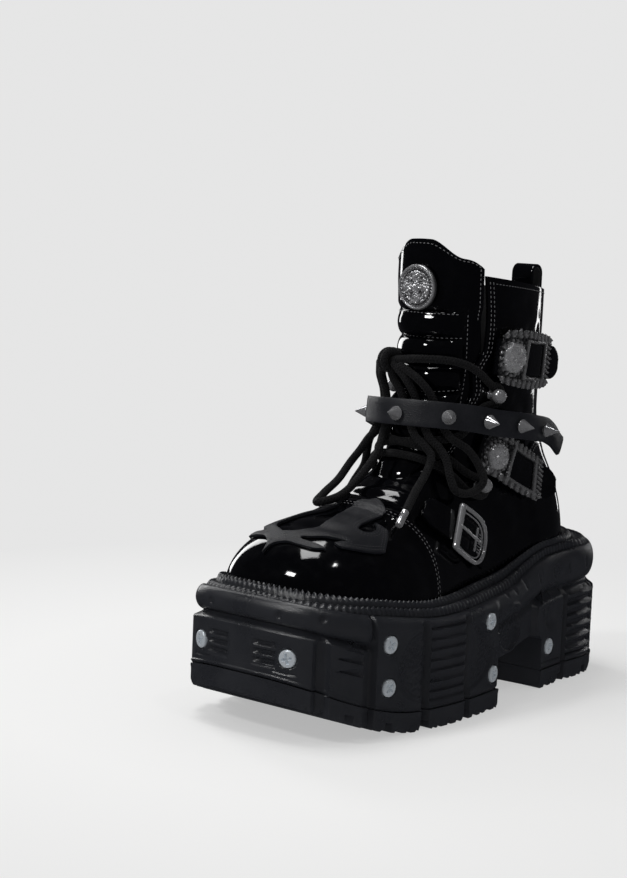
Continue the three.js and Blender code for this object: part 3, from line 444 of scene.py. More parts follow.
def evenLine(line, step=None, count=None):
    run = np.concatenate([[0], np.cumsum(np.linalg.norm(np.diff(line, axis=0), axis=1))])
    count = count or max(2, int(round(run[-1] / step)) + 1)
    at = np.linspace(0, run[-1], count)
    return np.stack([np.interp(at, run, line[:, k]) for k in range(line.shape[1])], axis=1)


tubeCap = [(0.0, 1.0), (0.55, 0.82), (0.85, 0.5)]


# a round tube along a line, with rounded ends unless it is closed
def tube(line, radius, sides=16, closed=False, bm=None, firstSide=(0, 0, 1)):
    line = np.asarray(line, float)
    n = len(line)
    if closed:
        tangent = unit(np.roll(line, -1, axis=0) - np.roll(line, 1, axis=0))
    else:
        tangent = unit(np.gradient(line, axis=0))
    side = np.zeros_like(line)
    guess = np.array(firstSide, float)
    if abs(np.dot(unit(guess), tangent[0])) > 0.95:
        guess = np.array([1.0, 0, 0])
    for k in range(n):
        guess = guess - tangent[k] * np.dot(guess, tangent[k])
        guess = guess / np.linalg.norm(guess)
        side[k] = guess
    other = np.cross(tangent, side)
    if closed:
        rows = np.arange(n + 1.0)
        line, side, other = (np.concatenate([w, w[:1]]) for w in (line, side, other))
    else:
        rows = np.arange(-3.0, n + 3)

    def place(u, v):
        k = np.clip(np.rint(v), -3, n + 2).astype(int)
        inside = np.clip(k, 0, len(line) - 1)
        r, shift = np.full(len(k), float(radius)), np.zeros(len(k))
        if not closed:
            for step, (share, reach) in enumerate(tubeCap):
                for test, sign in ((k == step - 3, -1), (k == n + 2 - step, 1)):
                    shift = np.where(test, sign * reach * r, shift)
                    r = np.where(test, r * share, r)
        a = u * 2 * np.pi
        t = tangent[np.clip(inside, 0, n - 1)]
        return (line[inside] + t * shift[:, None] + side[inside] * (np.cos(a) * r)[:, None]
                + other[inside] * (np.sin(a) * r)[:, None])

    return drape(np.linspace(0, 1, sides + 1), rows, place, bm=bm)


# turns a profile of (radius, height) pairs round the z axis and stands it on a point
def spun(profile, steps, place):
    part = bmesh.new()
    verts = [part.verts.new((r * mm, 0, h * mm)) for r, h in profile]
    edges = [part.edges.new(pair) for pair in zip(verts, verts[1:])]
    bmesh.ops.spin(part, geom=verts + edges, cent=(0, 0, 0), axis=(0, 0, 1), angle=2 * math.pi, steps=steps,
                   use_merge=True)
    bmesh.ops.remove_doubles(part, verts=part.verts[:], dist=1e-6)
    bmesh.ops.recalc_face_normals(part, faces=part.faces[:])
    bmesh.ops.transform(part, matrix=place, verts=part.verts[:])
    return part


def arcOf(cx, cy, r, start, stop, count):
    return [(cx + r * math.cos(a), cy + r * math.sin(a)) for a in np.radians(np.linspace(start, stop, count))]


# a frame with z along out, x across, standing on p (millimetres)
def standing(p, out, upward=(0, 0, 1), lift=0.0):
    z = Vector(out).normalized()
    y = Vector(upward) - z * z.dot(Vector(upward))
    y.normalize()
    x = y.cross(z)
    place = Matrix((x, y, z)).transposed().to_4x4()
    place.translation = (Vector(p) + z * lift) * mm
    return place


# a cut shape, with holes, filled and divided into cells, then laid by mapping(x, y)
def cutSheet(loops, cell, mapping):
    part = bmesh.new()
    for loop in loops:
        verts = [part.verts.new((x, y, 0)) for x, y in loop]
        for a, b in zip(verts, verts[1:] + verts[:1]):
            part.edges.new((a, b))
    bmesh.ops.triangle_fill(part, use_beauty=True, use_dissolve=False, edges=part.edges[:])
    outer = np.array(loops[0])
    for axis in (0, 1):
        for at in np.arange(outer[:, axis].min() + cell / 2, outer[:, axis].max(), cell):
            co, no = [0, 0, 0], [0, 0, 0]
            co[axis], no[axis] = at, 1
            geom = part.verts[:] + part.edges[:] + part.faces[:]
            bmesh.ops.bisect_plane(part, geom=geom, dist=1e-4, plane_co=co, plane_no=no)
    for face in part.faces:
        if face.normal.z < 0:
            face.normal_flip()
    uvLayer = part.loops.layers.uv.new('UVMap')
    for face in part.faces:
        for loop in face.loops:
            loop[uvLayer].uv = loop.vert.co[:2]
    flat = np.array([v.co[:2] for v in part.verts])
    for vert, p in zip(part.verts, (mapping(flat[:, 0], flat[:, 1]) * mm).tolist()):
        vert.co = p
    return part


# stitches: small rounded threads laid along a line on the leather
stitchSize = dict(pitch=2.6, length=1.7, width=0.55, height=0.4)


def stitchLine(bm, line, facing=None, size=stitchSize, lift=0.12):
    even = evenLine(np.asarray(line, float), step=size['pitch'])
    out = normalAt(even) if facing is None else np.tile(np.array(facing, float), (len(even), 1))
    along = unit(np.gradient(even, axis=0))
    for p, t, n in zip(even, along, out):
        n = n - t * np.dot(n, t)
        n = n / np.linalg.norm(n)
        b = np.cross(n, t)
        place = Matrix([[t[k] * size['length'] / 2 * mm, b[k] * size['width'] / 2 * mm,
                         n[k] * size['height'] / 2 * mm,
                         (p[k] + n[k] * lift) * mm] for k in range(3)] + [[0, 0, 0, 1]])
        bmesh.ops.create_icosphere(bm, subdivisions=1, radius=1, matrix=place)


# distance from points to a line of points, with the share along it
def distanceTo(points, line):
    best = np.full(len(points), 1e9)
    share = np.zeros(len(points))
    total = len(line) - 1
    for k in range(total):
        a, b = line[k], line[k + 1]
        ab = b - a
        t = np.clip(((points - a) @ ab) / (ab @ ab), 0, 1)
        d = np.linalg.norm(points - a - t[:, None] * ab, axis=1)
        closer = d < best
        best = np.where(closer, d, best)
        share = np.where(closer, (k + t) / total, share)
    return best, share


# a node group with float sockets in and out
def makeGroup(name, taken, given):
    group = bpy.data.node_groups.new(name, 'ShaderNodeTree')
    for direction, sockets in (('INPUT', taken), ('OUTPUT', given)):
        for socket in sockets:
            group.interface.new_socket(socket, in_out=direction, socket_type='NodeSocketFloat')
    return group, group.nodes.new('NodeGroupInput'), group.nodes.new('NodeGroupOutput')


grainSockets = ('Broad Scale', 'Broad Height', 'Fine Scale', 'Fine Height')


# a height made of a broad wave and a fine grain, for every leather and rubber bump
def makeGrainGroup():
    group, given, out = makeGroup('surfaceGrain', grainSockets, ('Height', 'Mottle'))
    where = addNode(group, 'TexCoord')
    broad, fine = addNode(group, 'TexNoise', {'Detail': 2}), addNode(group, 'TexNoise', {'Detail': 3})
    cells = addNode(group, 'TexVoronoi')
    for texture, scale in ((broad, 'Broad Scale'), (fine, 'Fine Scale'), (cells, 'Fine Scale')):
        join(group, (where, 'Object', texture, 'Vector'), (given, scale, texture, 'Scale'))
    one, two, three, total = (addNode(group, 'Math', operation=kind)
                              for kind in ('MULTIPLY', 'ADD', 'MULTIPLY', 'ADD'))
    join(group, (broad, 'Fac', one, 0), (given, 'Broad Height', one, 1), (fine, 'Fac', two, 0),
    (cells, 'Distance', two, 1),
         (two, 0, three, 0), (given, 'Fine Height', three, 1), (one, 0, total, 0), (three, 0, total, 1),
         (total, 0, out, 'Height'), (broad, 'Fac', out, 'Mottle'))
    return group


# pale dust and rubbing where a surface looks up, broken by noise
def makeDustGroup():
    group, given, out = makeGroup('settledDust', ('Scale', 'Amount'), ('Mask',))
    where, noise = addNode(group, 'TexCoord'), addNode(group, 'TexNoise', {'Detail': 5})
    facing, split = addNode(group, 'NewGeometry'), addNode(group, 'SeparateXYZ')
    spread = addNode(group, 'MapRange', {'From Min': 0.48, 'From Max': 0.72})
    up = addNode(group, 'MapRange', {'From Min': 0.1, 'From Max': 1.0, 'To Min': 0.25})
    product = addNode(group, 'Math', operation='MULTIPLY')
    share = addNode(group, 'Math', operation='MULTIPLY')
    join(group, (where, 'Object', noise, 'Vector'), (given, 'Scale', noise, 'Scale'),
         (noise, 'Fac', spread, 'Value'),
         (facing, 'Normal', split, 0), (split, 'Z', up, 'Value'), (spread, 'Result', product, 0),
         (up, 'Result', product, 1),
         (product, 0, share, 0), (given, 'Amount', share, 1), (share, 0, out, 'Mask'))
    return group


grainGroup, dustGroup = makeGrainGroup(), makeDustGroup()
paleDust = (0.16, 0.16, 0.16)


# returns the material's node tree too, with the nodes that a special material links again
def newMaterial(name, look):
    mat = bpy.data.materials.new(name)
    mat.use_nodes = True
    tree = mat.node_tree
    shader = tree.nodes['Principled BSDF']
    for socket, value in look.get('sockets', {}).items():
        shader.inputs[socket].default_value = value
    grain = addNode(tree, 'Group', node_tree=grainGroup)
    for socket, value in zip(grainSockets, look['grain']):
        grain.inputs[socket].default_value = value
    dust = addNode(tree, 'Group', node_tree=dustGroup)
    dust.inputs['Scale'].default_value, dust.inputs['Amount'].default_value = look['dust']
    bump = addNode(tree, 'Bump', {'Distance': look['bump'], 'Strength': look.get('strength', 1.0)})
    tint = addNode(tree, 'Mix', data_type='RGBA')
    tint.inputs['A'].default_value, tint.inputs['B'].default_value = (*look['color'], 1), (*look['second'], 1)
    settle = addNode(tree, 'Mix', data_type='RGBA')
    settle.inputs['B'].default_value = (*look.get('dustColor', paleDust), 1)
    low, high = look['roughness']
    rough = addNode(tree, 'MapRange', {'From Min': 0.3, 'From Max': 0.7, 'To Min': low, 'To Max': high})
    more = addNode(tree, 'Math', operation='ADD')
    join(tree, (grain, 'Height', bump, 'Height'), (bump, 'Normal', shader, 'Normal'),
         (grain, 'Mottle', tint, 'Factor'), (dust, 'Mask', settle, 'Factor'), (tint, 'Result', settle, 'A'),
         (settle, 'Result', shader, 'Base Color'),
         (grain, 'Mottle', rough, 'Value'), (rough, 'Result', more, 0), (dust, 'Mask', more, 1),
         (more, 0, shader, 'Roughness'))
    return mat, grain, bump, tint


finishes = dict(
    patent=dict(color=(0.0005, 0.0006, 0.0011), second=(0.001, 0.0011, 0.0018), roughness=(0.05, 0.09),
                grain=(34, 1.0, 900, 0.012), bump=0.0022, strength=0.35, dust=(140, 0.02),
                sockets={'Coat Weight': 0.35, 'Coat Roughness': 0.03}),
    matteLeather=dict(color=(0.007, 0.0075, 0.01), second=(0.015, 0.016, 0.0205), roughness=(0.34, 0.5),
                      grain=(60, 0.5, 1500, 0.5), bump=0.00022, dust=(220, 0.05)),
    rubber=dict(color=(0.013, 0.014, 0.0172), second=(0.024, 0.0257, 0.0315), roughness=(0.25, 0.36),
                grain=(45, 0.5, 2600, 0.35), bump=0.00018, dust=(120, 0.05),
                sockets={'Specular IOR Level': 0.9}),
    lining=dict(color=(0.02, 0.02, 0.021), second=(0.032, 0.032, 0.034), roughness=(0.8, 0.9),
                grain=(120, 0.3, 2400, 0.6), bump=0.0003, dust=(120, 0.05)),
    brightSteel=dict(color=(0.72, 0.72, 0.74), second=(0.58, 0.58, 0.6), roughness=(0.12, 0.22),
                     grain=(90, 0.4, 2400, 0.05), bump=0.00012, dust=(300, 0.03), sockets={'Metallic': 0.8}),
    darkSteel=dict(color=(0.34, 0.34, 0.36), second=(0.2, 0.2, 0.215), roughness=(0.16, 0.3),
                   grain=(160, 0.5, 1800, 0.3), bump=0.00025, dust=(300, 0.08), dustColor=(0.03, 0.03, 0.03),
                   sockets={'Metallic': 1.0}),
    antique=dict(color=(0.03, 0.03, 0.033), second=(0.84, 0.84, 0.86), roughness=(0.16, 0.3),
                 grain=(160, 0.5, 1800, 0.3), bump=0.00025, dust=(300, 0.08), dustColor=(0.03, 0.03, 0.03),
                 sockets={'Metallic': 0.8}),
    zincScrew=dict(color=(0.86, 0.91, 0.96), second=(0.64, 0.7, 0.76), roughness=(0.24, 0.38),
                   grain=(240, 0.5, 3000, 0.2), bump=0.00012, dust=(500, 0.15), dustColor=(0.12, 0.13, 0.14),
                   sockets={'Metallic': 0.5}),
    thread=dict(color=(0.12, 0.12, 0.125), second=(0.2, 0.2, 0.21), roughness=(0.35, 0.5),
                grain=(200, 0.5, 4000, 0.4), bump=0.0001, dust=(300, 0.1)),
    darkThread=dict(color=(0.045, 0.045, 0.047), second=(0.085, 0.085, 0.09), roughness=(0.4, 0.55),
                    grain=(200, 0.5, 4000, 0.4), bump=0.0001, dust=(300, 0.1)),
    zipTape=dict(color=(0.012, 0.012, 0.013), second=(0.02, 0.02, 0.021), roughness=(0.75, 0.9),
                 grain=(400, 0.4, 3200, 0.8), bump=0.0003, dust=(120, 0.04)),
    lace=dict(color=(0.0035, 0.0035, 0.004), second=(0.009, 0.009, 0.01), roughness=(0.7, 0.85),
              grain=(300, 0.2, 3500, 0.5), bump=0.0004, dust=(500, 0.06),
              sockets={'Sheen Weight': 0.04, 'Sheen Roughness': 0.4, 'Specular IOR Level': 0.15}),
)
braid = dict(strands=5, perMm=3.6, height=0.6)


# two crossing sets of strands: the uv map runs once round (u) and in millimetres along (v); the colour is
# painted shade, darker in the hollows between the strands and lighter on their tops
def braidInto(mat, grain, bump, tint):
    tree = mat.node_tree
    uv, split = addNode(tree, 'UVMap', uv_map='UVMap'), addNode(tree, 'SeparateXYZ')
    join(tree, (uv, 0, split, 0))
    top = addNode(tree, 'Math', operation='MAXIMUM')
    for k, sign in enumerate((1, -1)):
        turned = addNode(tree, 'Math', {1: 2 * math.pi * braid['strands']}, operation='MULTIPLY')
        along = addNode(tree, 'Math', {1: sign * braid['perMm']}, operation='MULTIPLY')
        total, wave = addNode(tree, 'Math', operation='ADD'), addNode(tree, 'Math', operation='SINE')
        join(tree, (split, 'X', turned, 0), (split, 'Y', along, 0), (turned, 0, total, 0),
             (along, 0, total, 1), (total, 0, wave, 0), (wave, 0, top, k))
    scaled = addNode(tree, 'Math', {1: braid['height']}, operation='MULTIPLY')
    mixed = addNode(tree, 'Math', operation='ADD')
    # painted shade: the strand height darkens the lace colour in the hollows of the braid
    paintedGapShade = addNode(tree, 'MapRange', {'From Min': -1})
    join(tree, (top, 0, scaled, 0), (scaled, 0, mixed, 0), (grain, 'Height', mixed, 1),
         (mixed, 0, bump, 'Height'), (top, 0, paintedGapShade, 'Value'), (paintedGapShade, 'Result', tint, 'Factor'))


# old silver: bright on the ridges and black in the hollows, after the relief attribute of the vertices
def silverInto(mat, grain, bump, tint):
    relief = addNode(mat.node_tree, 'Attribute', attribute_name='relief')
    join(mat.node_tree, (relief, 'Fac', tint, 'Factor'))


materials = {}
special = dict(lace=braidInto, antique=silverInto)
for name, look in finishes.items():
    materials[name], *nodes = newMaterial(name, look)
    if name in special:
        special[name](materials[name], *nodes)
print('materials ready')

# laces
laceRadius = 2.3
studSpots = dict(upper=(173.5, 53.6), lower=(121.5, 41))
knotSpot = (191, -11, 9.8)
# routes of the bow down from the knot: height, angle and lift off the leg
bow = dict(
    lateralLoop=[(188.5, -7.5, 9.6), (181, -1, 8.5), (172, 4, 5.2), (162, 8, 4.8), (154.5, 11, 6.4),
                 (146.5, 14.5, 9.5), (140, 18.5, 10.4),
                 (131, 21.5, 10), (124, 23.5, 8.8), (118.8, 25.5, 8), (117, 28.8, 8.6), (118.8, 32.4, 10.8),
                 (122.5, 34, 13.8),
                 (132, 34, 12.4), (142, 30, 10.5), (148, 23, 9.5), (154.5, 19.5, 6.8), (162, 17, 4.8),
                 (172, 13, 5.2), (180.5, 6.5, 8), (188, -3.5, 9.2)],
    lateralEnd=[(188, -10.5, 10), (180.5, -9, 8.5), (172, -4, 5.2), (162, 0.5, 4.8), (155, 4.5, 6.4),
                (147.5, 8.5, 9.2), (141.7, 12.5, 10.4),
                (134.3, 16, 10), (126.4, 16.4, 7.6), (118.5, 15.6, 6.2), (109, 15.4, 5.6)],
    medialLoop=[(188.5, -18, 11), (181, -28, 9.5), (172, -26, 6.4), (162, -23, 5.2), (155, -18, 6.8),
                (147, -15, 9.4), (142.5, -16, 11.4),
                (131.8, -19, 13), (123.5, -20, 13.5), (116, -18, 10.5), (111, -12.5, 6.8), (109.5, -6.5, 4.6),
                (113.5, -4, 4.2), (122.5, -4.5, 6), (132.5, -5, 10), (141.7, -6, 10.6), (147, -7.5, 9.4),
                (155, -10, 6.8), (162, -14, 5), (172, -19, 6), (181, -20.5, 9), (188.5, -14.5, 11)],
    medialEnd=[(188.5, -22, 10.5), (181, -33, 9.6), (172, -34, 6.4), (162, -31, 5), (155, -25.3, 6.9),
               (146, -23, 9.9), (141, -22, 10.8),
               (133, -24, 10.6), (125, -24.5, 9.4), (116, -23, 7.6), (108, -22.5, 6)],
)


def rowsOver(rows):
    return over([r[0] for r in rows], [r[1] for r in rows], [r[2] for r in rows])


def hookRound(spot, side):
    p = ankle([spot[0]], [spot[1] * side])[0]
    out = normalAt(p)
    up = unit(np.array([0, 0, 1.0]) - out * out[2])
    away = np.cross(up, out) * side
    if away[1] < 0:
        away = -away
    a = np.radians(np.linspace(-105, 105, 9))[:, None]
    return p + up * 5.45 * np.sin(a) + away * 5.45 * np.cos(a) + out * 2.65


def crossingLine(side):
    low, high = 2.65, 4.4
    start = rowsOver([(137, 0, high), (135.5, -11 * side, high), (130.5, -22 * side, high),
                      (119.5, -32.5 * side, low + 0.6)])
    middle = rowsOver([(129.5, -32.5 * side, low + 0.6), (137.5, -22 * side, high), (142.5, -11 * side, high),
                       (144.5, 0, high),
                       (146.5, 15 * side, high), (151, 29 * side, high), (158.5, 35 * side, 4.2),
                       (166, 43.5 * side, low)])
    if side > 0:
        end = rowsOver([(186.5, 39, 3.2), (191, 29.5, high), (193, 20, high + 0.4), (193, 5, 7), knotSpot])
    else:
        end = rowsOver([(187, -41, 3.2), (190.5, -34, high + 0.5), (192, -24, 7.4), knotSpot])
    return np.concatenate([start, hookRound(studSpots['lower'], -side), middle,
                           hookRound(studSpots['upper'], side), end])


# a lace along points a millimetre apart, so that its uv map runs on in millimetres
def laceTube(line, bm=None):
    return tube(line, laceRadius, sides=14, bm=bm)


def titled(first, name):
    return first + name[0].upper() + name[1:]


agletProfile = [(0, 0), (1.7, 0), (2.1, 0.5), (2.1, 3), (1.95, 3.4), (2.1, 3.8), (2.1, 11), (1.9, 11.8),
                (1.2, 12.1), (0, 12.1)]


def makeAglet(name, node, line):
    down = line[-1] - line[-4]
    place = standing(line[-1], down / np.linalg.norm(down), upward=(0.3, 1, 0.2), lift=0.1)
    return finishPiece(titled('aglet', name), spun(agletProfile, 20, place), ['brightSteel'], replaces=[node])


# the knot: a coil of nearly two turns round the strands
def makeKnot():
    centre = rowsOver([knotSpot])[0]
    before, after = rowsOver([(192, -24, 7.4), (193, 5, 7)])
    across = unit(after - before)
    out = normalAt(rowsOver([(knotSpot[0], knotSpot[1], 0)])[0])
    out = unit(out - across * np.dot(out, across))
    up = np.cross(out, across)
    turn = np.radians(np.linspace(-150, 510, 60))[:, None]
    shift = np.linspace(-2.6, 2.6, 60)[:, None]
    coil = centre + across * shift + (up * np.sin(turn) + out * np.cos(turn)) * (2 * laceRadius + 0.4)
    return finishPiece('laceKnot', laceTube(evenLine(coil, step=1.0)), ['lace'], replaces=['lace_knot'])


def makeLaces():
    bm = bmesh.new()
    for side in (1, -1):
        laceTube(smoothLine(crossingLine(side), step=1.0), bm=bm)
    finishPiece('laceCrossings', bm, ['lace'], replaces=['lace_crossings'])
    lines = {name: smoothLine(rowsOver(rows), step=1.0) for name, rows in bow.items()}
    aglets = {name: makeAglet(name, node, lines[name])
              for name, node in (('lateralEnd', 'aglet_lateral'), ('medialEnd', 'aglet_medial'))}
    knot = makeKnot()
    kinds = dict(lateralLoop=('lace_loop_lateral', 'object', [knot]),
                 medialLoop=('lace_loop_medial', 'object', []),
                 lateralEnd=('lace_end_lateral', 'fitting', [aglets['lateralEnd']]),
                 medialEnd=('lace_end_medial', 'fitting', [aglets['medialEnd']]))
    for name, (node, farEnd, extra) in kinds.items():
        line = lines[name]
        piece = finishPiece(titled('lace', name), laceTube(line), ['lace'], replaces=[node])


makeLaces()
print('laces done')

# sole
soleShape = dict(
    outline=[(-148, 55, 54), (-100, 58, 56), (-45, 63, 58), (15, 57, 51), (55, 50, 45), (100, 45, 43),
             (148, 44, 42)],
    half=148, toe=(60, 3.4), heel=(46, 2.6), tread=11, spring=(-70, 22, 1.7), arch=(5, 61, 27),
    screws=[(-145.5, 45), (-95, 50), (-95, 27), (-6.5, 51), (-1.5, 20.5), (71, 24)], screwRadius=4.7,
)


def underside(y):
    start, height, power = soleShape['spring']
    return height * (np.maximum(0, start - y) / (soleShape['half'] + start)) ** power


def soleHalf(y, lateral):
    s = soleShape
    half = np.where(lateral, read(s['outline'], y, 1), read(s['outline'], y, 2))
    toe = np.clip((-(s['half'] - s['toe'][0]) - y) / s['toe'][0], 0, 1)
    heel = np.clip((y - (s['half'] - s['heel'][0])) / s['heel'][0], 0, 1)
    return (half * (1 - toe ** s['toe'][1]) ** (1 / s['toe'][1])
            * (1 - heel ** s['heel'][1]) ** (1 / s['heel'][1]))


# the outline as tables by way: millimetres along it from the middle of the toe
def outlineTable(lateral):
    y = -np.cos(np.linspace(0, np.pi, 3001)) * soleShape['half']
    x = soleHalf(y, lateral) * (1 if lateral else -1)
    way = np.concatenate([[0], np.cumsum(np.hypot(np.diff(x), np.diff(y)))])
    return way, x, y


outlineLateral, outlineMedial = outlineTable(True), outlineTable(False)


def wallPoint(way, lateral):
    table = outlineLateral if lateral else outlineMedial
    total = table[0][-1]

    def at(s):
        s = np.asarray(s, float)
        past, before = s > total, s < 0
        inside = np.where(past, 2 * total - s, np.abs(s))
        x, y = np.interp(inside, table[0], table[1]), np.interp(inside, table[0], table[2])
        return np.where(past | before, -x, x), y

    x, y = at(way)
    x1, y1 = at(np.asarray(way) + 1.2)
    x0, y0 = at(np.asarray(way) - 1.2)
    sign = 1 if lateral else -1
    nx, ny = sign * (y1 - y0), -sign * (x1 - x0)
    size = np.hypot(nx, ny)
    return x, y, nx / size, ny / size


def wayOf(y, lateral=True):
    table = outlineLateral if lateral else outlineMedial
    return np.interp(y, table[2], table[0])


soleLooks = dict(
    grooves=[(49, 7.5, 3.2), (78.5, 7.5, 4.2), (121, 4.2, 3.5), (158, 4.2, 3.5), (279.5, 4.5, 3.5),
             (321, 4.5, 3)],
    slots=[(-25, -10), (9.5, 23)], slotHeights=(51, 46.4, 41.8), ribPitch=5.65, ribTop=53.9, rearPitch=6.6,
    rearTop=58.2,
    fins=[(62, 73.5, 51.5, 6.2), (57.5, 73.5, 46.5, 6.4), (57.5, 73.5, 40.0, 6.6)],
)


def pits(s, z, size):
    return (np.sin(s * 1.9 / size + 1.3 * np.sin(z / size))
            * np.sin(z * 2.1 / size + 1.7 * np.sin(s * 0.9 / size + 1)))


# how far the moulded wall stands out at a way s along the outline and a height z
def wallRelief(s, z, t):
    k = soleLooks
    rollPart = 1 - between(s, 81, 192, 2.0)
    shoulder = -5.2 * smoothStep(t, 0.6, 0.675)
    roll = -6.6 + 5.6 * np.sqrt(np.clip(1 - ((t - 0.845) / 0.165) ** 2, 0, 1))
    rolled = np.where(t < 0.68, shoulder, np.maximum(roll, -5.6))
    edge = np.clip((t - 0.86) / 0.14, 0, 1)
    plain = -0.4 * smoothStep(t, 0.7, 0.86) - 5.2 * (1 - np.sqrt(np.clip(1 - edge ** 2, 0, 1)))
    d = rolled * rollPart + plain * (1 - rollPart)
    d = d - 0.9 * (1 - smoothStep(t, 0, 0.04))
    low = 1 - smoothStep(t, 0.64, 0.68) * rollPart
    for at, width, depth in k['grooves']:
        top = 56.5 if at == 49 else 200
        rounded = z + ((s - at) / width) ** 2 * 6
        cut = (between(s, at - width / 2, at + width / 2, 0.8)
               * (1 - smoothStep(rounded, top - 1.5, top + 0.5)))
        reach = low if at < 82 or at > 190 else (1 - smoothStep(t, 0.9, 0.99))
        d = d - depth * cut * reach
    d = d - 3.5 * between(s, 193.5, 243, 1.0) * (1 - smoothStep(t, 0.6, 0.68))
    # toe slots
    for a, b in k['slots']:
        for h in k['slotHeights']:
            d = d - 1.7 * between(s, a, b, 0.5) * between(z, h - 1.25, h + 1.25, 0.45)
        top, bottom = k['slotHeights'][0] + 3, k['slotHeights'][-1] - 3
        d = d - 0.5 * between(s, a - 1.5, b + 1.5, 0.5) * between(z, bottom, top, 0.4)
    d = d - 0.7 * between(s, 22, 36, 0.4) * between(z + (s - 22) * 0.06, 37.0, 38.0, 0.3)
    # three wedge-shaped hollows between the toe and the first block
    for a, b, h, tall in k['fins']:
        share = np.clip((s - a) / (b - a), 0, 1)
        under, roof = h - tall * share * 0.62 - 0.4, h + 0.3 + tall * share * 0.1
        slope = 0.35 + 0.65 * (1 - np.clip((z - under) / np.maximum(0.5, roof - under), 0, 1))
        d = d - 1.8 * between(s, a, b, 0.4) * between(z, under, roof - 0.6, 0.35) * slope
    # half moon relief on the first block
    r = np.hypot((s - 120) / 19, (z - 35.5) / 18.3)
    face = (s < 119.2) & (s > 90)
    d = d - face * (1.2 * (1 - smoothStep(r, 0.93, 0.97))
                    - 0.5 * pits(s, z, 1.5) * (1 - smoothStep(r, 0.82, 0.9))
                    + 0.7 * between(r, 0.97, 1.06, 0.015))
    # ribs, each slat tipped outwards at its top
    inRibs = between(s, 124.2, 155.4, 0.5) * between(z, 15.5, 55.5, 0.6)
    saw = np.mod((k['ribTop'] - z) / k['ribPitch'], 1)
    d = d - inRibs * (0.25 + 1.5 * smoothStep(saw, 0.0, 0.95) * (1 - smoothStep(saw, 0.93, 1.0)))
    # crescent on the third block
    outer, inner = np.hypot((s - 158) / 28, (z - 35) / 19.5), np.hypot((s - 150) / 19, (z - 36) / 20)
    moon = (s > 160.4) & (s < 190)
    d = d - moon * (1.3 * (1 - smoothStep(outer, 0.93, 0.97))
                    - 0.55 * pits(s, z, 1.4) * (1 - smoothStep(outer, 0.84, 0.9))
                    * smoothStep(inner, 1.0, 1.06)
                    + 0.6 * (1 - smoothStep(inner, 0.95, 1.0)))
    # oval in the arch and the hollow in the heel post
    oval = np.hypot((s - 211.5) / 14, (z - 42.6) / 13.6)
    d = (d - (1 - smoothStep(oval, 0.92, 0.97)) + 0.5 * pits(s, z, 1.3) * (1 - smoothStep(oval, 0.8, 0.88))
         + 0.7 * between(oval, 0.97, 1.08, 0.02))
    bowl = np.hypot((s - 262) / 8.6, (z - 41) / 9.2)
    d = d - 2.4 * (1 - smoothStep(bowl, 0.3, 1.0)) * (s > 244)
    post = between(s, 244.5, 275.5, 0.8)
    d = d - 0.8 * post * between(z, 14.4, 15.4, 0.35)
    # rear ribs round the heel
    rear = (between(s, 283, 317.5, 0.7) + between(s, 324.5, 400, 0.7)) * between(z, 14.5, 58.6, 0.6)
    saw = np.mod((k['rearTop'] - z) / k['rearPitch'], 1)
    d = d - rear * 2.3 * between(saw, 0.42, 0.98, 0.1)
    # dents in the rolled band
    for at in (-13, 24, 49):
        d = d - 1.3 * (1 - smoothStep(np.hypot(s - at, z - 66.6), 1.5, 2.4)) * rollPart
    for at in (204, 215, 229, 247, 266, 286, 306, 328, 350):
        slant = np.hypot((s - at + (z - 66) * 0.35) / 1.3, (z - 64 - (s - 206) * 0.05) / 3.4)
        d = d - 1.1 * (1 - smoothStep(slant, 0.7, 1.1)) * (s > 195)
    # a step above the tread
    step = underside(np.interp(np.clip(s, 0, 365), outlineLateral[0], outlineLateral[2])) + 13.4
    plainSpan = 1 - between(s, 190, 244, 1)
    d = d + 0.55 * (1 - smoothStep(z, step - 0.5, step + 0.1)) * plainSpan
    return d


def ringWays(step, extra=()):
    out = []
    for table in (outlineLateral, outlineMedial):
        total = table[0][-1]
        ways = np.linspace(0, total, int(total / step) + 1)
        near = sorted(x for x in extra if 0 < x < total)
        ways = np.array([w for w in ways if all(abs(w - e) > step * 0.4 for e in near)] + near)
        out.append(np.sort(ways))
    lateral, medial = out
    # way runs on past the heel as 1000 + the medial way
    return np.concatenate([lateral, 1000 + medial[::-1]])


def ringAt(ways):
    lateral = ways < 900
    a = wallPoint(np.where(lateral, ways, 0), True)
    b = wallPoint(np.where(lateral, 0, ways - 1000), False)
    x, y, nx, ny = (np.where(lateral, p, q) for p, q in zip(a, b))
    return x, y, nx, ny, np.where(lateral, ways, ways - 1000)


def floorOf(y):
    a, b, roof = soleShape['arch']
    plain = underside(y) + soleShape['tread'] + 0.3
    inside = (y > a) & (y < b)
    share = (y - a) / (b - a)
    slope = (roof - 4 + 4 * smoothStep(share, 0, 0.08) + 6 * smoothStep(share, 0.05, 0.95)
             - 3 * smoothStep(share, 0.92, 1))
    return np.where(inside, slope, plain)


def screwPits(x, y, z, d):
    for lateral in (True, False):
        for sy, sz in soleShape['screws']:
            px, py = (float(c) for c in wallPoint(wayOf(sy, lateral), lateral)[:2])
            away = np.hypot(np.hypot(x - px, y - py), z - sz)
            d = np.where(away < 7.5, np.minimum(d, d * smoothStep(away, 5.6, 7.4)), d)
            d = d - 1.5 * (1 - smoothStep(away, 4.9, 5.5))
    return d


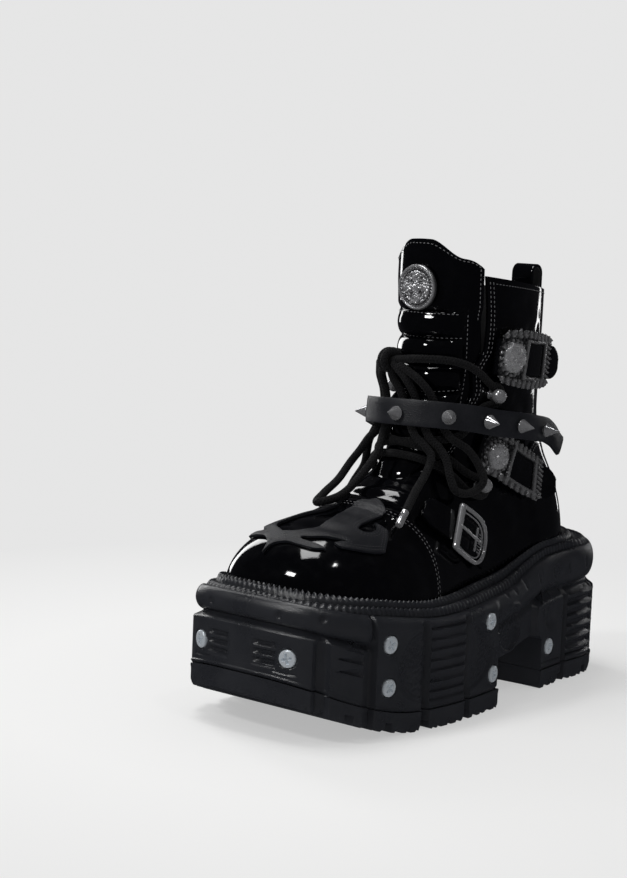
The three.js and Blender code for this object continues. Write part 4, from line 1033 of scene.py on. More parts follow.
def makeMidsole():
    arch = soleShape['arch'][:2]
    extra = [float(wayOf(at, lateral)) + e for lateral in (True, False) for at in arch for e in (-0.02, 0.02)]
    ways = ringWays(1.05, extra)
    rows = np.concatenate([[-4, -3, -2, -1], np.linspace(0, 72, 73), [73, 74, 75, 76]])
    middle = {-1: 0.9, -2: 0.6, -3: 0.3, -4: 0.0, 73: 0.9, 74: 0.6, 75: 0.3, 76: 0.0}

    def place(u, v):
        x, y, nx, ny, s = ringAt(u)
        t = np.clip(v, 0, 72) / 72
        low, high = floorOf(y), feather(y)
        z = low + (high - low) * t
        d = wallRelief(s, z, np.clip((z - underside(y) - 11.3) / (high - underside(y) - 11.3), 0, 1))
        d = screwPits(x, y, z, d)
        share = np.ones_like(x)
        for row, value in middle.items():
            share = np.where(v == row, value, share)
        px, py = (x + nx * d), (y + ny * d)
        inner = np.clip(py, -146, 146)
        return np.stack([px * share, np.where(share < 0.95, inner, py), z], axis=1)

    finishPiece('midsole', drape(ways, rows, place), ['rubber'], replaces=['midsole'],
                outward=True, sharp=50)


treadLugs = (-122, -94, -66, -29.5, 86, 116)


# a tread from start to stop; an end inside the sole is a flat wall at the arch
def makeTread(name, node, start, stop):
    inFront, behind = start > -soleShape['half'], stop < soleShape['half']
    lowest, highest = (start if inFront else -200), (stop if behind else 200)
    lugEdges = [g + e for g in treadLugs for e in (-2.6, -2.4, 2.4, 2.6) if start < g < stop]
    sides = []
    for lateral, table in ((True, outlineLateral), (False, outlineMedial)):
        first = wayOf(start, lateral) if inFront else 0
        last = float(wayOf(stop, lateral) if behind else table[0][-1])
        lugs = [float(wayOf(e, lateral)) for e in lugEdges]
        sides.append(sorted([*np.arange(first, last, 1.1), last] + lugs))
    ways = np.array(sides[0] + [1000 + w for w in sides[1][::-1]])
    rows = np.arange(-4, 15.0)
    inward = {-1: 0.96, -2: 0.72, -3: 0.36, -4: 0.0, 11: 0.96, 12: 0.72, 13: 0.36, 14: 0.0}

    def place(u, v):
        x, y, nx, ny, s = ringAt(u)
        low = underside(y)
        lug = np.zeros_like(y)
        for g in treadLugs:
            lug = np.maximum(lug, between(y, g - 2.5, g + 2.5, 0.05))
        chip = 1.5 * (np.mod(s, 8.3) < 2.4) + 0.8 * (np.mod(s + 3, 13.1) < 2.2)
        rim = np.where((v >= -2) & (v <= 0), 1, 0)
        t = np.clip(v, 0, 10) / 10
        z = low + (5 * lug + chip * (1 - lug)) * (1 - t) ** 1.5 * np.where(v < 0, rim, 1) + 11 * t
        z = np.where(v < -2, low + 5 * lug, z)
        d = -0.8 * (1 - smoothStep(t, 0, 0.25)) + 0.3
        for at, width, depth in soleLooks['grooves']:
            d = d - depth * between(s, at - width / 2, at + width / 2, 0.6)
        d = d + 0.3 * between(t, 0.82, 1.1, 0.05)
        share = np.ones_like(x)
        for row, value in inward.items():
            share = np.where(np.abs(v - row) < 0.1, value, share)
        return np.stack([(x + nx * d) * share, np.clip(y + ny * d, lowest, highest), z], axis=1)

    bm = drape(ways, rows, place)
    if inFront:
        # a flat wall at the arch joins the first and last columns
        columns = {}
        layer = bm.loops.layers.uv['UVMap']
        for face in bm.faces:
            for loop in face.loops:
                columns.setdefault(round(loop[layer].uv.x, 4), {})[round(loop[layer].uv.y, 2)] = loop.vert
        one, two = (next(c for k, c in columns.items() if abs(k - end) < 0.01) for end in (ways[0], ways[-1]))
        heights = sorted(one)
        for a, b in zip(heights, heights[1:]):
            corners = [one[a], one[b], two[b], two[a]]
            if len({tuple(round(c, 7) for c in v.co) for v in corners}) > 2:
                bm.faces.new(corners)
    finishPiece(name, bm, ['rubber'], replaces=[node], outward=True, sharp=30)


makeMidsole()
makeTread('treadForefoot', 'outsole_forefoot', -148, 5)
makeTread('treadHeel', 'outsole_heel', 61, 148)
print('sole done')


# rows of a share of the radius and a height
screwRings = [(0, -1.7), (0.6, -1.7), (0.98, -1.7), (1, -1.5), (1, 0.1), (0.94, 0.42), (0.86, 0.62)]
screwCross = dict(arm=2.7, half=0.62, deep=1.3)


# a round head with a cross recess, from rings of a polar sheet
def makeScrew(name, node, place, spin):
    radius = soleShape['screwRadius']
    rings = np.array(screwRings)
    top = rings[-1][0]

    def bar(long, short):
        k = screwCross
        return between(long, -k['arm'], k['arm'], 0.25) * between(short, -k['half'], k['half'], 0.22)

    def head(u, v):
        a, outer = u * 2 * np.pi, v < len(rings)
        ring = rings[np.clip(v, 0, len(rings) - 1).astype(int)]
        r = np.where(outer, ring[:, 0], top * (1 - (v - 6) / 12)) * radius
        z = np.where(outer, ring[:, 1], 0.9 - 0.28 * (r / radius / top) ** 2)
        x, y = r * np.cos(a), r * np.sin(a)
        z = z - screwCross['deep'] * np.maximum(bar(x, y), bar(y, x)) * (v > 6)
        return np.stack([x * math.cos(spin) - y * math.sin(spin), x * math.sin(spin) + y * math.cos(spin),
                         z], axis=1)

    bm = drape(np.linspace(0, 1, 61), np.arange(0, 19), head)
    bmesh.ops.transform(bm, matrix=place, verts=bm.verts[:])
    finishPiece(name, bm, ['zincScrew'], replaces=[node], outward=True, sharp=45)


def makeScrews():
    labels = ('toe', 'fore_high', 'fore_low', 'mid_high', 'mid_low', 'heel')
    for lateral, sideName in ((True, 'lateral'), (False, 'medial')):
        for (y, z), label in zip(soleShape['screws'], labels):
            px, py, nx, ny = (float(c) for c in wallPoint(wayOf(y, lateral), lateral))
            node = f'screw_{sideName}_{label}'
            makeScrew(f'{node}_head', node, standing((px, py, z), (nx, ny, 0)),
                      math.radians((y * 7 + z * 3) % 90))


makeScrews()
print('screws done')


# welt: a twisted inner cord and a ribbed outer row
def makeWelt():
    count = 900
    turns = np.linspace(0, 360, count + 1)
    foot = skin(0.02, turns)
    out = normalAt(foot)
    out[:, 2] = 0
    out = unit(out)
    reach = np.zeros(count + 1)
    for r in np.arange(0, 40, 0.4):
        q = foot + out * r
        half = soleHalf(np.clip(q[:, 1], -148, 148), q[:, 0] > 0)
        inside = (np.abs(q[:, 1]) < soleShape['half']) & (np.abs(q[:, 0]) < half)
        reach = np.where(inside & (reach >= r - 0.5), r, reach)
    reach = np.convolve(np.concatenate([reach[-9:-1], reach, reach[1:9]]), np.ones(17) / 17,
                        'valid')[:count + 1]
    reach[-1] = reach[0]
    inner, outer = 0.6, reach - 6.0
    base = feather(foot[:, 1]) + 0.4
    line = foot + out * (inner + 0.45 * (outer - inner))[:, None]
    way = np.concatenate([[0], np.cumsum(np.linalg.norm(np.diff(line, axis=0), axis=1))])
    pitch = way[-1] / round(way[-1] / 3.5)
    rows = np.arange(0, 25)

    def place(u, v):
        k = np.rint(u * count).astype(int)
        share = v / 24
        w = way[k] / pitch
        wide = outer[k] - inner
        acrossShare = np.clip((share - 0.04) / 0.92, 0, 1)
        cordPart = acrossShare < 0.46
        c = np.clip(acrossShare / 0.46, 0, 1)
        ropeTop = (7.4 * np.sqrt(np.clip(1 - (2 * c - 1.05) ** 2 * 0.6, 0, 1))
                   + 0.85 * np.sin(2 * np.pi * (w - 0.8 * c)) * np.sin(np.pi * c))
        e = np.clip((acrossShare - 0.46) / 0.54, 0, 1)
        teeth = np.tanh(2.5 * np.sin(2 * np.pi * (w + 0.25 * e)))
        ribTop = 3.9 * np.clip(1.02 - e ** 6, 0, 1) + 0.55 * teeth * np.sin(np.pi * np.clip(e * 1.05, 0, 1))
        ribTop = ribTop - 1.5 * np.exp(-(e / 0.14) ** 2)
        z = np.where(cordPart, ropeTop, ribTop)
        push = np.where(cordPart, 0, 0.5 * teeth * (e > 0.85))
        z = np.where((v == 0) | (v == 24), 0, z)
        at = foot[k] + out[k] * (inner + acrossShare * wide + push)[:, None]
        return np.stack([at[:, 0], at[:, 1], base[k] + np.maximum(0, z)], axis=1)

    bm = drape(turns / 360, rows, place)
    finishPiece('welt', bm, ['rubber'], replaces=['welt'], sharp=70)


makeWelt()
# the nodes kept as they are and the material each of them gets
keptLooks = dict(insole='lining', zip_slider='brightSteel', zip_pull='brightSteel')
for node, look in keptLooks.items():
    for o in bpy.data.objects:
        if o.type == 'MESH' and (o.get('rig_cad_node') == node or o.name == node):
            o.material_slots[0].material = materials[look]
            print(node, 'kept with', look)
print('welt done')

# upper
upperShape = dict(
    throat=[(0.48, 12), (0.53, 24), (0.6, 29), (0.66, 31), (0.72, 36), (0.77, 34), (0.83, 41), (0.9, 42),
            (1.02, 40)],
    zipFrom=112, zipTo=106, zipBottom=0.16, zipHalf=5.3, thickness=2.2,
    vampTop=[(-34, -52), (-20, -60), (0, -63), (20, -60), (34, -52)],
    vampSide=[(-45, 90), (-42, 78), (-41, 66)],
    counter=[(98, 0), (104, 60), (106, 116), (111, 128), (122, 138), (140, 144), (180, 146), (214, 142),
             (228, 128), (236, 60), (240, 0)],
)


def throatHalf(v):
    return read(upperShape['throat'], v)


def zipWay(v):
    return -(upperShape['zipFrom'] + (upperShape['zipTo'] - upperShape['zipFrom']) * v)


def degreesPerMm(v, a):
    return 2 / np.linalg.norm(skin(v, a + 2) - skin(v, a), axis=-1)


def sideAt(y, z, side=1):
    y, z = np.broadcast_arrays(np.asarray(y, float), np.asarray(z, float))
    return cast(lambda r: (side * r, y, z), y.shape)


def roundAngle(p):
    return np.degrees(np.arctan2(p[..., 0], legMiddle(p[..., 2]) - p[..., 1]))


def vampSeamLine():
    top = np.array(upperShape['vampTop'], float)
    low = np.array(upperShape['vampSide'], float)
    line = np.concatenate([sideAt(*low[::-1].T, -1), topAt(*top.T), sideAt(*low.T, 1)])
    return smoothLine(line, step=2.0)


vampSeam = vampSeamLine()

# soft folds: points on the leather, width and depth in millimetres (a negative depth is a ridge)
folds = [
    dict(top=[(-36, -38), (-20, -46), (0, -50), (20, -46), (38, -36)], width=6.5, depth=1.3),
    dict(top=[(-34, -50), (-16, -57), (2, -60), (20, -56), (36, -47)], width=5, depth=-0.6),
    dict(top=[(-24, -92), (0, -98), (14, -96), (26, -86)], width=8, depth=0.9),
    dict(leg=[(158, 62), (153, 82), (146, 104), (140, 124)], width=7, depth=1.2),
    dict(leg=[(147, 66), (140, 86), (134, 108)], width=6, depth=0.9),
    dict(leg=[(158, -62), (152, -84), (146, -100)], width=7, depth=1.1),
    dict(leg=[(172, 84), (168, 104), (160, 122)], width=8, depth=0.7),
    dict(leg=[(118, 62), (112, 78), (104, 92)], width=9, depth=0.7),
    dict(leg=[(212, 96), (207, 116), (210, 136)], width=10, depth=0.6),
    dict(leg=[(150, 150), (146, 172), (149, 196)], width=8, depth=1.0),
    dict(leg=[(226, 70), (222, 90), (226, 108)], width=9, depth=0.5),
    dict(leg=[(98, 70), (92, 86), (88, 98)], width=10, depth=0.6),
]


def foldLine(fold):
    if 'top' in fold:
        xy = np.array(fold['top'], float)
        return smoothLine(topAt(xy[:, 0], xy[:, 1]), step=4)
    za = np.array(fold['leg'], float)
    return smoothLine(ankle(za[:, 0], za[:, 1]), step=4)


foldLines = [(foldLine(f), f['width'], f['depth']) for f in folds]


def foldRelief(p):
    d = np.zeros(len(p))
    for line, width, depth in foldLines:
        away, share = distanceTo(p, line)
        fade = smoothStep(share, 0, 0.25) * (1 - smoothStep(share, 0.75, 1.0))
        d = d - depth * fade * np.exp(-(away / (width * 0.55)) ** 2)
        d = d + depth * 0.35 * fade * np.exp(-((away - width) / (width * 0.5)) ** 2)
    return d


def counterHeight(a):
    rows = upperShape['counter']
    return np.interp(a, [r[0] for r in rows], [r[1] for r in rows])


def upperRelief(p):
    d = foldRelief(p)
    away = distanceTo(p, vampSeam)[0]
    ahead = p[:, 1] < np.interp(np.abs(p[:, 0]), [0, 20, 34, 50], [-63, -60, -52, -41])
    sunk = -0.9 * smoothStep(away, 0, 0.9) * (1 - smoothStep(away, 8, 20))
    d = d + np.where(ahead, sunk, 0.2 * (1 - smoothStep(away, 1, 4)))
    a = np.mod(roundAngle(p), 360)
    inside = smoothStep(counterHeight(a) - p[:, 2], -0.6, 0.6) * (a > 96) * (a < 244)
    return d + 1.0 * inside


def keyed(keys, counts):
    out = [np.linspace(a, b, n, endpoint=False) for a, b, n in zip(keys, keys[1:], counts)]
    return np.concatenate(out + [[keys[-1]]])


def makeUpper():
    s = upperShape
    keys = [0, 0.08, 0.5, 0.68, 0.70, 0.92, 1]
    across = keyed(keys, [14, 110, 60, 4, 66, 14])
    # a row is kept exactly on each level where a cut ends
    upward = keyed([0, s['zipBottom'], 0.48, 1], [24, 44, 84])

    def place(u, v):
        half = throatHalf(v)
        d = s['zipHalf'] * degreesPerMm(v, zipWay(v))
        stops = [np.zeros_like(v), angleAt(v, half), np.full_like(v, 180), 360 + zipWay(v) - d,
                 360 + zipWay(v) + d,
                 360 + angleAt(v, -half), np.full_like(v, 360)]
        a = np.zeros_like(v)
        for k in range(6):
            share = (u - keys[k]) / (keys[k + 1] - keys[k])
            a = np.where((share >= 0) & (share <= 1), stops[k] + (stops[k + 1] - stops[k]) * share, a)
        p = skin(v, a)
        n = normalAt(p)
        p[:, 2] = np.where(v < 1e-6, feather(p[:, 1]) + 0.45, p[:, 2])
        rim = 1 - 0.5 * (1 - smoothStep(v, 0, 0.03))
        return p + n * (upperRelief(p) * rim * smoothStep(v, 0.0, 0.06))[:, None]

    def drop(a, b):
        throat = b > 0.48 and (a < 0.08 or a > 0.92)
        slot = b > s['zipBottom'] and 0.68 < a < 0.70
        return throat or slot

    finishPiece('upperShell', drape(across, upward, place, drop=drop), ['patent', 'lining'],
                replaces=['upper'], solid=dict(thickness=s['thickness'], inside=1),
                bevel=0.5, sharp=60)


makeUpper()
print('upper done')

# tongue
tongueShape = dict(
    rows=[(0.46, 12, 2.9), (0.51, 24, 2.9), (0.56, 30, 2.9), (0.6, 34, 2.9), (0.72, 40, 2.9), (0.8, 40, 2.9),
          (0.9, 39, 2.9), (0.93, 38.5, 0.0), (1.06, 38.5, 0.0)],
    first=129.2, pitch=15.1, count=6, rise=4.6, half=29, sewn=(174.5, 204.7), thickness=2.8,
)


def tongueTop(w):
    fall = smoothStep(np.abs(w), 0.15, 0.7)
    corner = np.maximum(0, (np.abs(w) - 0.75) / 0.25)
    return 1.06 - 0.03 * fall - 0.015 * corner * corner


def tongueFlat(u, v):
    k = tongueShape
    share = np.maximum(0, v - 0.98) / 0.08
    at = np.where(v > 0.98, 0.98 + (tongueTop(u) - 0.98) * share, v)
    return skin(at, angleAt(at, u * read(k['rows'], v, 1)))


def tonguePlace(u, v, extra=0.0):
    k = tongueShape
    p = tongueFlat(u, v)
    way = u * read(k['rows'], v, 1)
    throat = throatHalf(v)
    z = p[:, 2]
    step = (z - k['first']) / k['pitch']
    inside = (step > 0) & (step < k['count'])
    pad = np.minimum(k['half'], throat - 5)
    edge = np.clip(1 - (np.abs(way) / pad) ** 5, 0, 1)
    wave = np.sqrt(np.abs(np.sin(step * np.pi)))
    wobble = 0.25 * np.sin(way * 0.21 + np.floor(step) * 2.1) + 0.18 * np.sin(way * 0.47 + np.floor(step) * 1.3)
    lift = np.where(inside, (k['rise'] + wobble) * wave * edge, 0)
    groove = np.zeros_like(z)
    for level in k['sewn']:
        groove = groove - 0.35 * np.exp(-((z - level) / 0.8) ** 2) * (edge > 0)
    quilted = (z > k['first'] - 4) * (z < k['first'] + k['pitch'] * k['count'] + 1)
    border = -0.4 * np.exp(-((np.abs(way) - pad - 1.2) / 0.9) ** 2) * quilted
    fold = 0.5 * smoothStep(np.abs(u), 0.945, 0.955)
    soft = 0.5 * np.sin(p[:, 0] * 0.09 + p[:, 2] * 0.07) * smoothStep(z, 222, 240)
    return p + normalAt(p) * (lift + groove + border + fold * (z > 215) + soft
                              - read(k['rows'], v, 2) + extra)[:, None]


def makeTongue():
    upward = keyed([0.46, 0.52, 0.92, 1.06], [10, 230, 34])
    ways = np.concatenate([np.linspace(-1, -0.9, 9)[:-1], np.linspace(-0.9, 0.9, 84),
                           np.linspace(0.9, 1, 9)[1:]])
    piece = finishPiece('tonguePad', drape(ways, upward, tonguePlace), ['patent', 'lining'],
                        replaces=['tongue'],
                        solid=dict(thickness=tongueShape['thickness'], inside=1), bevel=0.6, sharp=70)
    # stitches: two rows across, the pad's outline and the folded rim
    bm = bmesh.new()
    us = np.linspace(-0.66, 0.66, 60)
    vs = np.linspace(0.5, 1.0, 200)
    for level in tongueShape['sewn']:
        mid = tongueFlat(np.zeros(200), vs)[:, 2]
        v = float(np.interp(level, mid, vs))
        line = tonguePlace(us, np.full(60, v))
        stitchLine(bm, line, lift=0.25)
    for side in (-1, 1):
        v = np.linspace(0.62, 0.905, 70)
        pad = np.minimum(tongueShape['half'], throatHalf(v) - 5) + 1.4
        line = tonguePlace(side * pad / read(tongueShape['rows'], v, 1), v)
        stitchLine(bm, line, lift=0.3)
        v = np.linspace(0.9, 1.04, 30)
        stitchLine(bm, tonguePlace(np.full(30, side * 0.945), v), lift=0.3)
    us = np.linspace(-0.93, 0.93, 70)
    stitchLine(bm, tonguePlace(us, np.full(70, 1.052)), lift=0.3)
    us = np.linspace(-0.6, 0.6, 40)
    stitchLine(bm, tonguePlace(us, np.full(40, 0.908)), lift=0.3)
    finishPiece('tongueStitches', bm, ['thread'])


makeTongue()
print('tongue done')


# seams of the upper
def onUpper(p, lift=0.0):
    return p + normalAt(p) * (upperRelief(p) + lift)[:, None]


def makeUpperStitches():
    bm = bmesh.new()
    for side in (1, -1):
        for inset in (2.2, 4.6):
            v = np.linspace(0.5, 0.985, 90)
            line = skin(v, angleAt(v, side * (throatHalf(v) + inset)))
            stitchLine(bm, onUpper(line), lift=0.1)
    # along the collar, with the ends left for the throat and the zip
    for start, stop in ((58, 178), (182, 244), (262, 302)):
        a = np.linspace(start, stop, 60)
        stitchLine(bm, onUpper(skin(np.full(60, 0.985), a)), lift=0.1)
    for shift in (1.6, 4.0):
        line = vampSeam + unit(np.array([0, 1.0, 0.3])) * shift
        line = line - normalAt(line) * lastField(*line.T)[:, None]
        stitchLine(bm, onUpper(line), lift=0.15)
    for inset in (1.8, 4.0):
        a = np.linspace(106 + inset * 0.9, 232, 90)
        z = counterHeight(a - inset * 0.8) - inset
        line = ankle(np.clip(z, 86, 150), a)
        keep = z > 86
        stitchLine(bm, onUpper(line[keep]), lift=0.1)
    for offset in (-1, 1):
        v = np.linspace(0.18, 0.98, 90)
        a = zipWay(v) + offset * 8.2 * degreesPerMm(v, zipWay(v))
        stitchLine(bm, onUpper(skin(v, a)), lift=0.1)
    finishPiece('upperStitches', bm, ['thread'])


makeUpperStitches()
print('upper seams done')

# straps: rows of share, height, angle, lift and half width
strapRows = dict(
    upper=[(0, 196, 51, 0.4, 10), (0.3, 194.5, 77, 0.4, 10), (0.6, 192.5, 104, 0.4, 10),
           (0.8, 191.5, 127, 0.8, 10), (0.92, 190.5, 139, 4, 9.5), (1, 189.5, 148, 7, 9)],
    middle=[(0, 145, 42, 0.4, 9.5), (0.3, 138, 63, 0.4, 9.5), (0.6, 129.5, 91, 0.4, 9.5),
            (0.8, 123, 114, 0.8, 9.5), (0.92, 119, 127, 3, 9), (1, 116, 135, 5, 8.5)],
    vamp=[(0, 112, 19, 0.4, 9), (0.1, 109.5, 21.2, 0.4, 9), (0.4, 101.5, 27, 0.4, 9), (0.7, 92, 32.5, 0.4, 9),
          (1, 83.5, 37.5, 0.4, 9)],
    ankle=[(0, 88, -86, 0.4, 7.5), (0.1, 108, -82, 0.6, 7.5), (0.2, 127, -77, 1.5, 7.5),
           (0.28, 143, -66, 4.5, 7.5),
           (0.36, 154, -47, 8.2, 7.5), (0.43, 160, -25, 11, 7.5), (0.51, 160.5, -4, 10.4, 7.5),
           (0.61, 161.5, 24, 9.8, 7.5),
           (0.7, 158.6, 52, 7.6, 7.5), (0.77, 156.5, 78, 7.2, 7.5), (0.85, 154, 106, 7, 7.5),
           (0.92, 150.5, 133, 7.4, 7.5), (0.96, 145.5, 142, 9.5, 7.5), (1, 137, 146, 12, 7.5)],
)
strapThickness = 2.2


class Band:
    def __init__(self, rows):
        self.rows = rows
        t = np.linspace(0, 1, 201)
        run = np.linalg.norm(np.diff(self.raised(t), axis=0), axis=1)
        self.shares = t
        self.ways = np.concatenate([[0], np.cumsum(run)])
        self.length = self.ways[-1]

    def raised(self, t):
        return over(read(self.rows, t, 1), read(self.rows, t, 2), read(self.rows, t, 3))

    def frame(self, t):
        t = np.atleast_1d(np.asarray(t, float))
        centre = ankle(read(self.rows, t, 1), read(self.rows, t, 2))
        along = unit(self.raised(t + 0.01) - self.raised(t - 0.01))
        side = unit(np.cross(normalAt(centre), along))
        return centre, along, side, np.cross(along, side)

    def share(self, way):
        return np.interp(way, self.ways, self.shares)

    # a point over the strap: way along, millimetres across, and height over the strap's underside
    def at(self, way, across, lift):
        t = self.share(way)
        centre, along, side = self.frame(t)[:3]
        q = centre + side * np.asarray(across, float)[:, None]
        p = ankle(q[:, 2], roundAngle(q))
        beyond = np.maximum(0, way - self.length) + np.minimum(0, way)
        return p + normalAt(p) * (read(self.rows, t, 3) + lift)[:, None] + along * beyond[:, None]


def makeStrap(name, node, rows, look, rounded=(0, 0), stitches=None):
    band = Band(rows)
    ways = np.concatenate([[0, 0.15, 0.5, 1.1, 1.9, 3.0], np.arange(4.2, band.length - 4.2, 1.6),
                           band.length - np.array([3.0, 1.9, 1.1, 0.5, 0.15, 0])])
    across = np.linspace(-1, 1, 15)

    def half(way):
        h = read(rows, band.share(way), 4)
        for end, away in ((0, way), (1, band.length - way)):
            if rounded[end]:
                inner = np.clip(1 - (away + 0.6) / rounded[end], 0, 1)
                h = h * np.sqrt(1 - inner * inner)
        return h

    def place(u, v):
        way = ways[np.rint(v).astype(int)]
        lip = -0.25 * smoothStep(np.abs(u), 0.7, 1.0)
        return band.at(way, u * half(way), strapThickness + lip)

    finishPiece(name, drape(across, np.arange(len(ways)), place), [look, 'lining'], replaces=[node],
                solid=dict(thickness=strapThickness - 0.1, even=False), bevel=0.5, sharp=60)
    if stitches:
        bm = bmesh.new()
        way = np.linspace(1.6, band.length - 1.6, 90)
        for side in (-1, 1):
            h = np.maximum(0, half(way) - stitches)
            stitchLine(bm, band.at(way, side * h, np.full(90, strapThickness)), lift=0.05)
        finishPiece(name + 'Stitches', bm, ['thread'])
    return band


bands = dict(
    upper=makeStrap('strapUpper', 'strap_upper', strapRows['upper'], 'patent', rounded=(0, 9), stitches=2.0),
    middle=makeStrap('strapMiddle', 'strap_middle', strapRows['middle'], 'patent', rounded=(0, 8.5),
                     stitches=2.0),
    vamp=makeStrap('strapVamp', 'strap_vamp', strapRows['vamp'], 'patent', rounded=(7, 0), stitches=1.7),
    ankle=makeStrap('ankleStrap', 'ankle_strap', strapRows['ankle'], 'matteLeather'),
)
print('straps done')


# spikes, studs and medallion
# where each spike stands, as a share of the strap's length
spikeShares = dict(low=0.08, mid=0.2, front_medial=0.4, front=0.53, front_lateral=0.598, side=0.664,
                   side_back=0.76, back=0.893)


def makeSpikes():
    profile = [(0, 0), (4.1, 0), (4.35, 0.25), (4.4, 0.7), (4.1, 1.05), (2.7, 1.3), (2.25, 1.6), (2.2, 2.4),
               (2.6, 2.8), (3.7, 3.2), (4.05, 3.5), (4.1, 3.8), (3.9, 4.2), (2.1, 7.9), (0.4, 11.5),
               (0.2, 11.85), (0, 12)]
    band = bands['ankle']
    for name, t in spikeShares.items():
        out = band.frame(t)[3]
        place = standing(band.raised(np.array([t]))[0], out[0], lift=strapThickness + 0.15)
        finishPiece(f'spike_{name}_cone', spun(profile, 36, place), ['brightSteel'],
                    replaces=[f'spike_{name}'],
                    sharp=50)


def makeStuds():
    for level, (z, a) in studSpots.items():
        for side in (1, -1):
            p = ankle(np.array([z]), np.array([a * side]))[0]
            ball = [(4.2 * math.cos(r), 6.6 + 4.2 * math.sin(r))
                    for r in np.radians(np.linspace(-64, 90, 22))]
            ball[-1] = (0, ball[-1][1])
            profile = [(0, 0), (3.1, 0), (3.25, 0.2), (3.2, 0.6), (1.9, 1), (1.8, 1.4)] + ball
            name = 'lateral' if side > 0 else 'medial'
            finishPiece(f'stud_{level}_{name}_ball', spun(profile, 40, standing(p, normalAt(p), lift=0.3)),
                        ['brightSteel'], replaces=[f'stud_{level}_{name}'], sharp=60)


# gives each vertex its height as the relief attribute, from its place in the uv map
def paintRelief(bm, height, low, high):
    layer = bm.verts.layers.float.new('relief')
    uvLayer = bm.loops.layers.uv['UVMap']
    loops = [loop for face in bm.faces for loop in face.loops]
    uv = np.array([loop[uvLayer].uv[:] for loop in loops])
    value = np.clip((height(uv[:, 0], uv[:, 1]) - low) / (high - low), 0, 1)
    for loop, share in zip(loops, value.tolist()):
        loop.vert[layer] = share


def rosette(x, y):
    r, a = np.hypot(x, y), np.arctan2(y, x)
    rim = 1.6 * between(r, 11.2, 12.6, 0.25) + 0.3 * between(r, 12.6, 14, 0.1)
    rope = between(r, 9.9, 11.1, 0.2) * (0.9 + 0.5 * np.sin(a * 34 + r * 2))
    petals = np.cos(a * 4 + 0.5 * np.sin(r * 0.9))
    veins = 0.35 * np.sin(a * 16 + r * 2.2) + 0.25 * np.cos(r * 3.1 + a * 3)
    leaf = between(r, 2.8, 9.4, 0.4) * (1.5 + 1.1 * petals * (1 - 0.07 * r) + veins)
    heart = 2.9 * np.sqrt(np.clip(1 - (r / 3.0) ** 2, 0, 1)) + 0.4 * np.cos(a * 6) * (r < 2.6)
    curls = 0.5 * np.sin(x * 1.9 + 1.3 * np.sin(y * 1.4)) * np.sin(y * 2.1 + 1.1 * np.sin(x * 1.2)) * (r < 9.4)
    return 0.8 + rim + rope + leaf + heart + curls


def makeMedallion():
    p = skin(0.962, 0.0)
    place = standing(p, normalAt(p), lift=0.7)

    def lay(u, v):
        a, r = u * 2 * np.pi, np.clip(v, 0, 13)
        x, y = r * np.cos(a), r * np.sin(a)
        z = np.where(v <= 12.9, rosette(x, y), np.where(v < 13.5, 1.2, 0.0))
        r = np.where(v > 15, 0, r)
        return np.stack([np.where(v > 15, 0, x), np.where(v > 15, 0, y), np.where(v > 13.5, 0, z)], axis=1)

    bm = drape(np.linspace(0, 1, 121), np.concatenate([np.linspace(0, 12.9, 52), [13.2, 14, 16]]), lay)
    layer = bm.verts.layers.float.new('relief')
    for vert in bm.verts:
        vert[layer] = min(1.0, max(0.0, (vert.co.z / mm - 0.9) / 1.9))
    bmesh.ops.transform(bm, matrix=place, verts=bm.verts[:])
    finishPiece('medallionDisc', bm, ['antique'], replaces=['medallion'], outward=True,
                sharp=70)


makeSpikes()
makeStuds()
makeMedallion()
print('spikes, studs and medallion done')

# ornate buckles: a domed rosette at the front, a strap window and leafy edges
ornateLooks = dict(
    upper=dict(node='buckle_upper', span=(0.03, 0.8), half=13.4, window=(0.4, 0.7, 9.2), dome=(0.19, 0, 8.8),
               leaf=5.2, leaves=1.5, arch=1.6),
    middle=dict(node='buckle_middle', span=(0.03, 0.8), half=11.6, window=(0.4, 0.7, 8.2),
                dome=(0.19, -1.5, 8.0),
                leaf=5.4, leaves=1.6, arch=1.0),
)


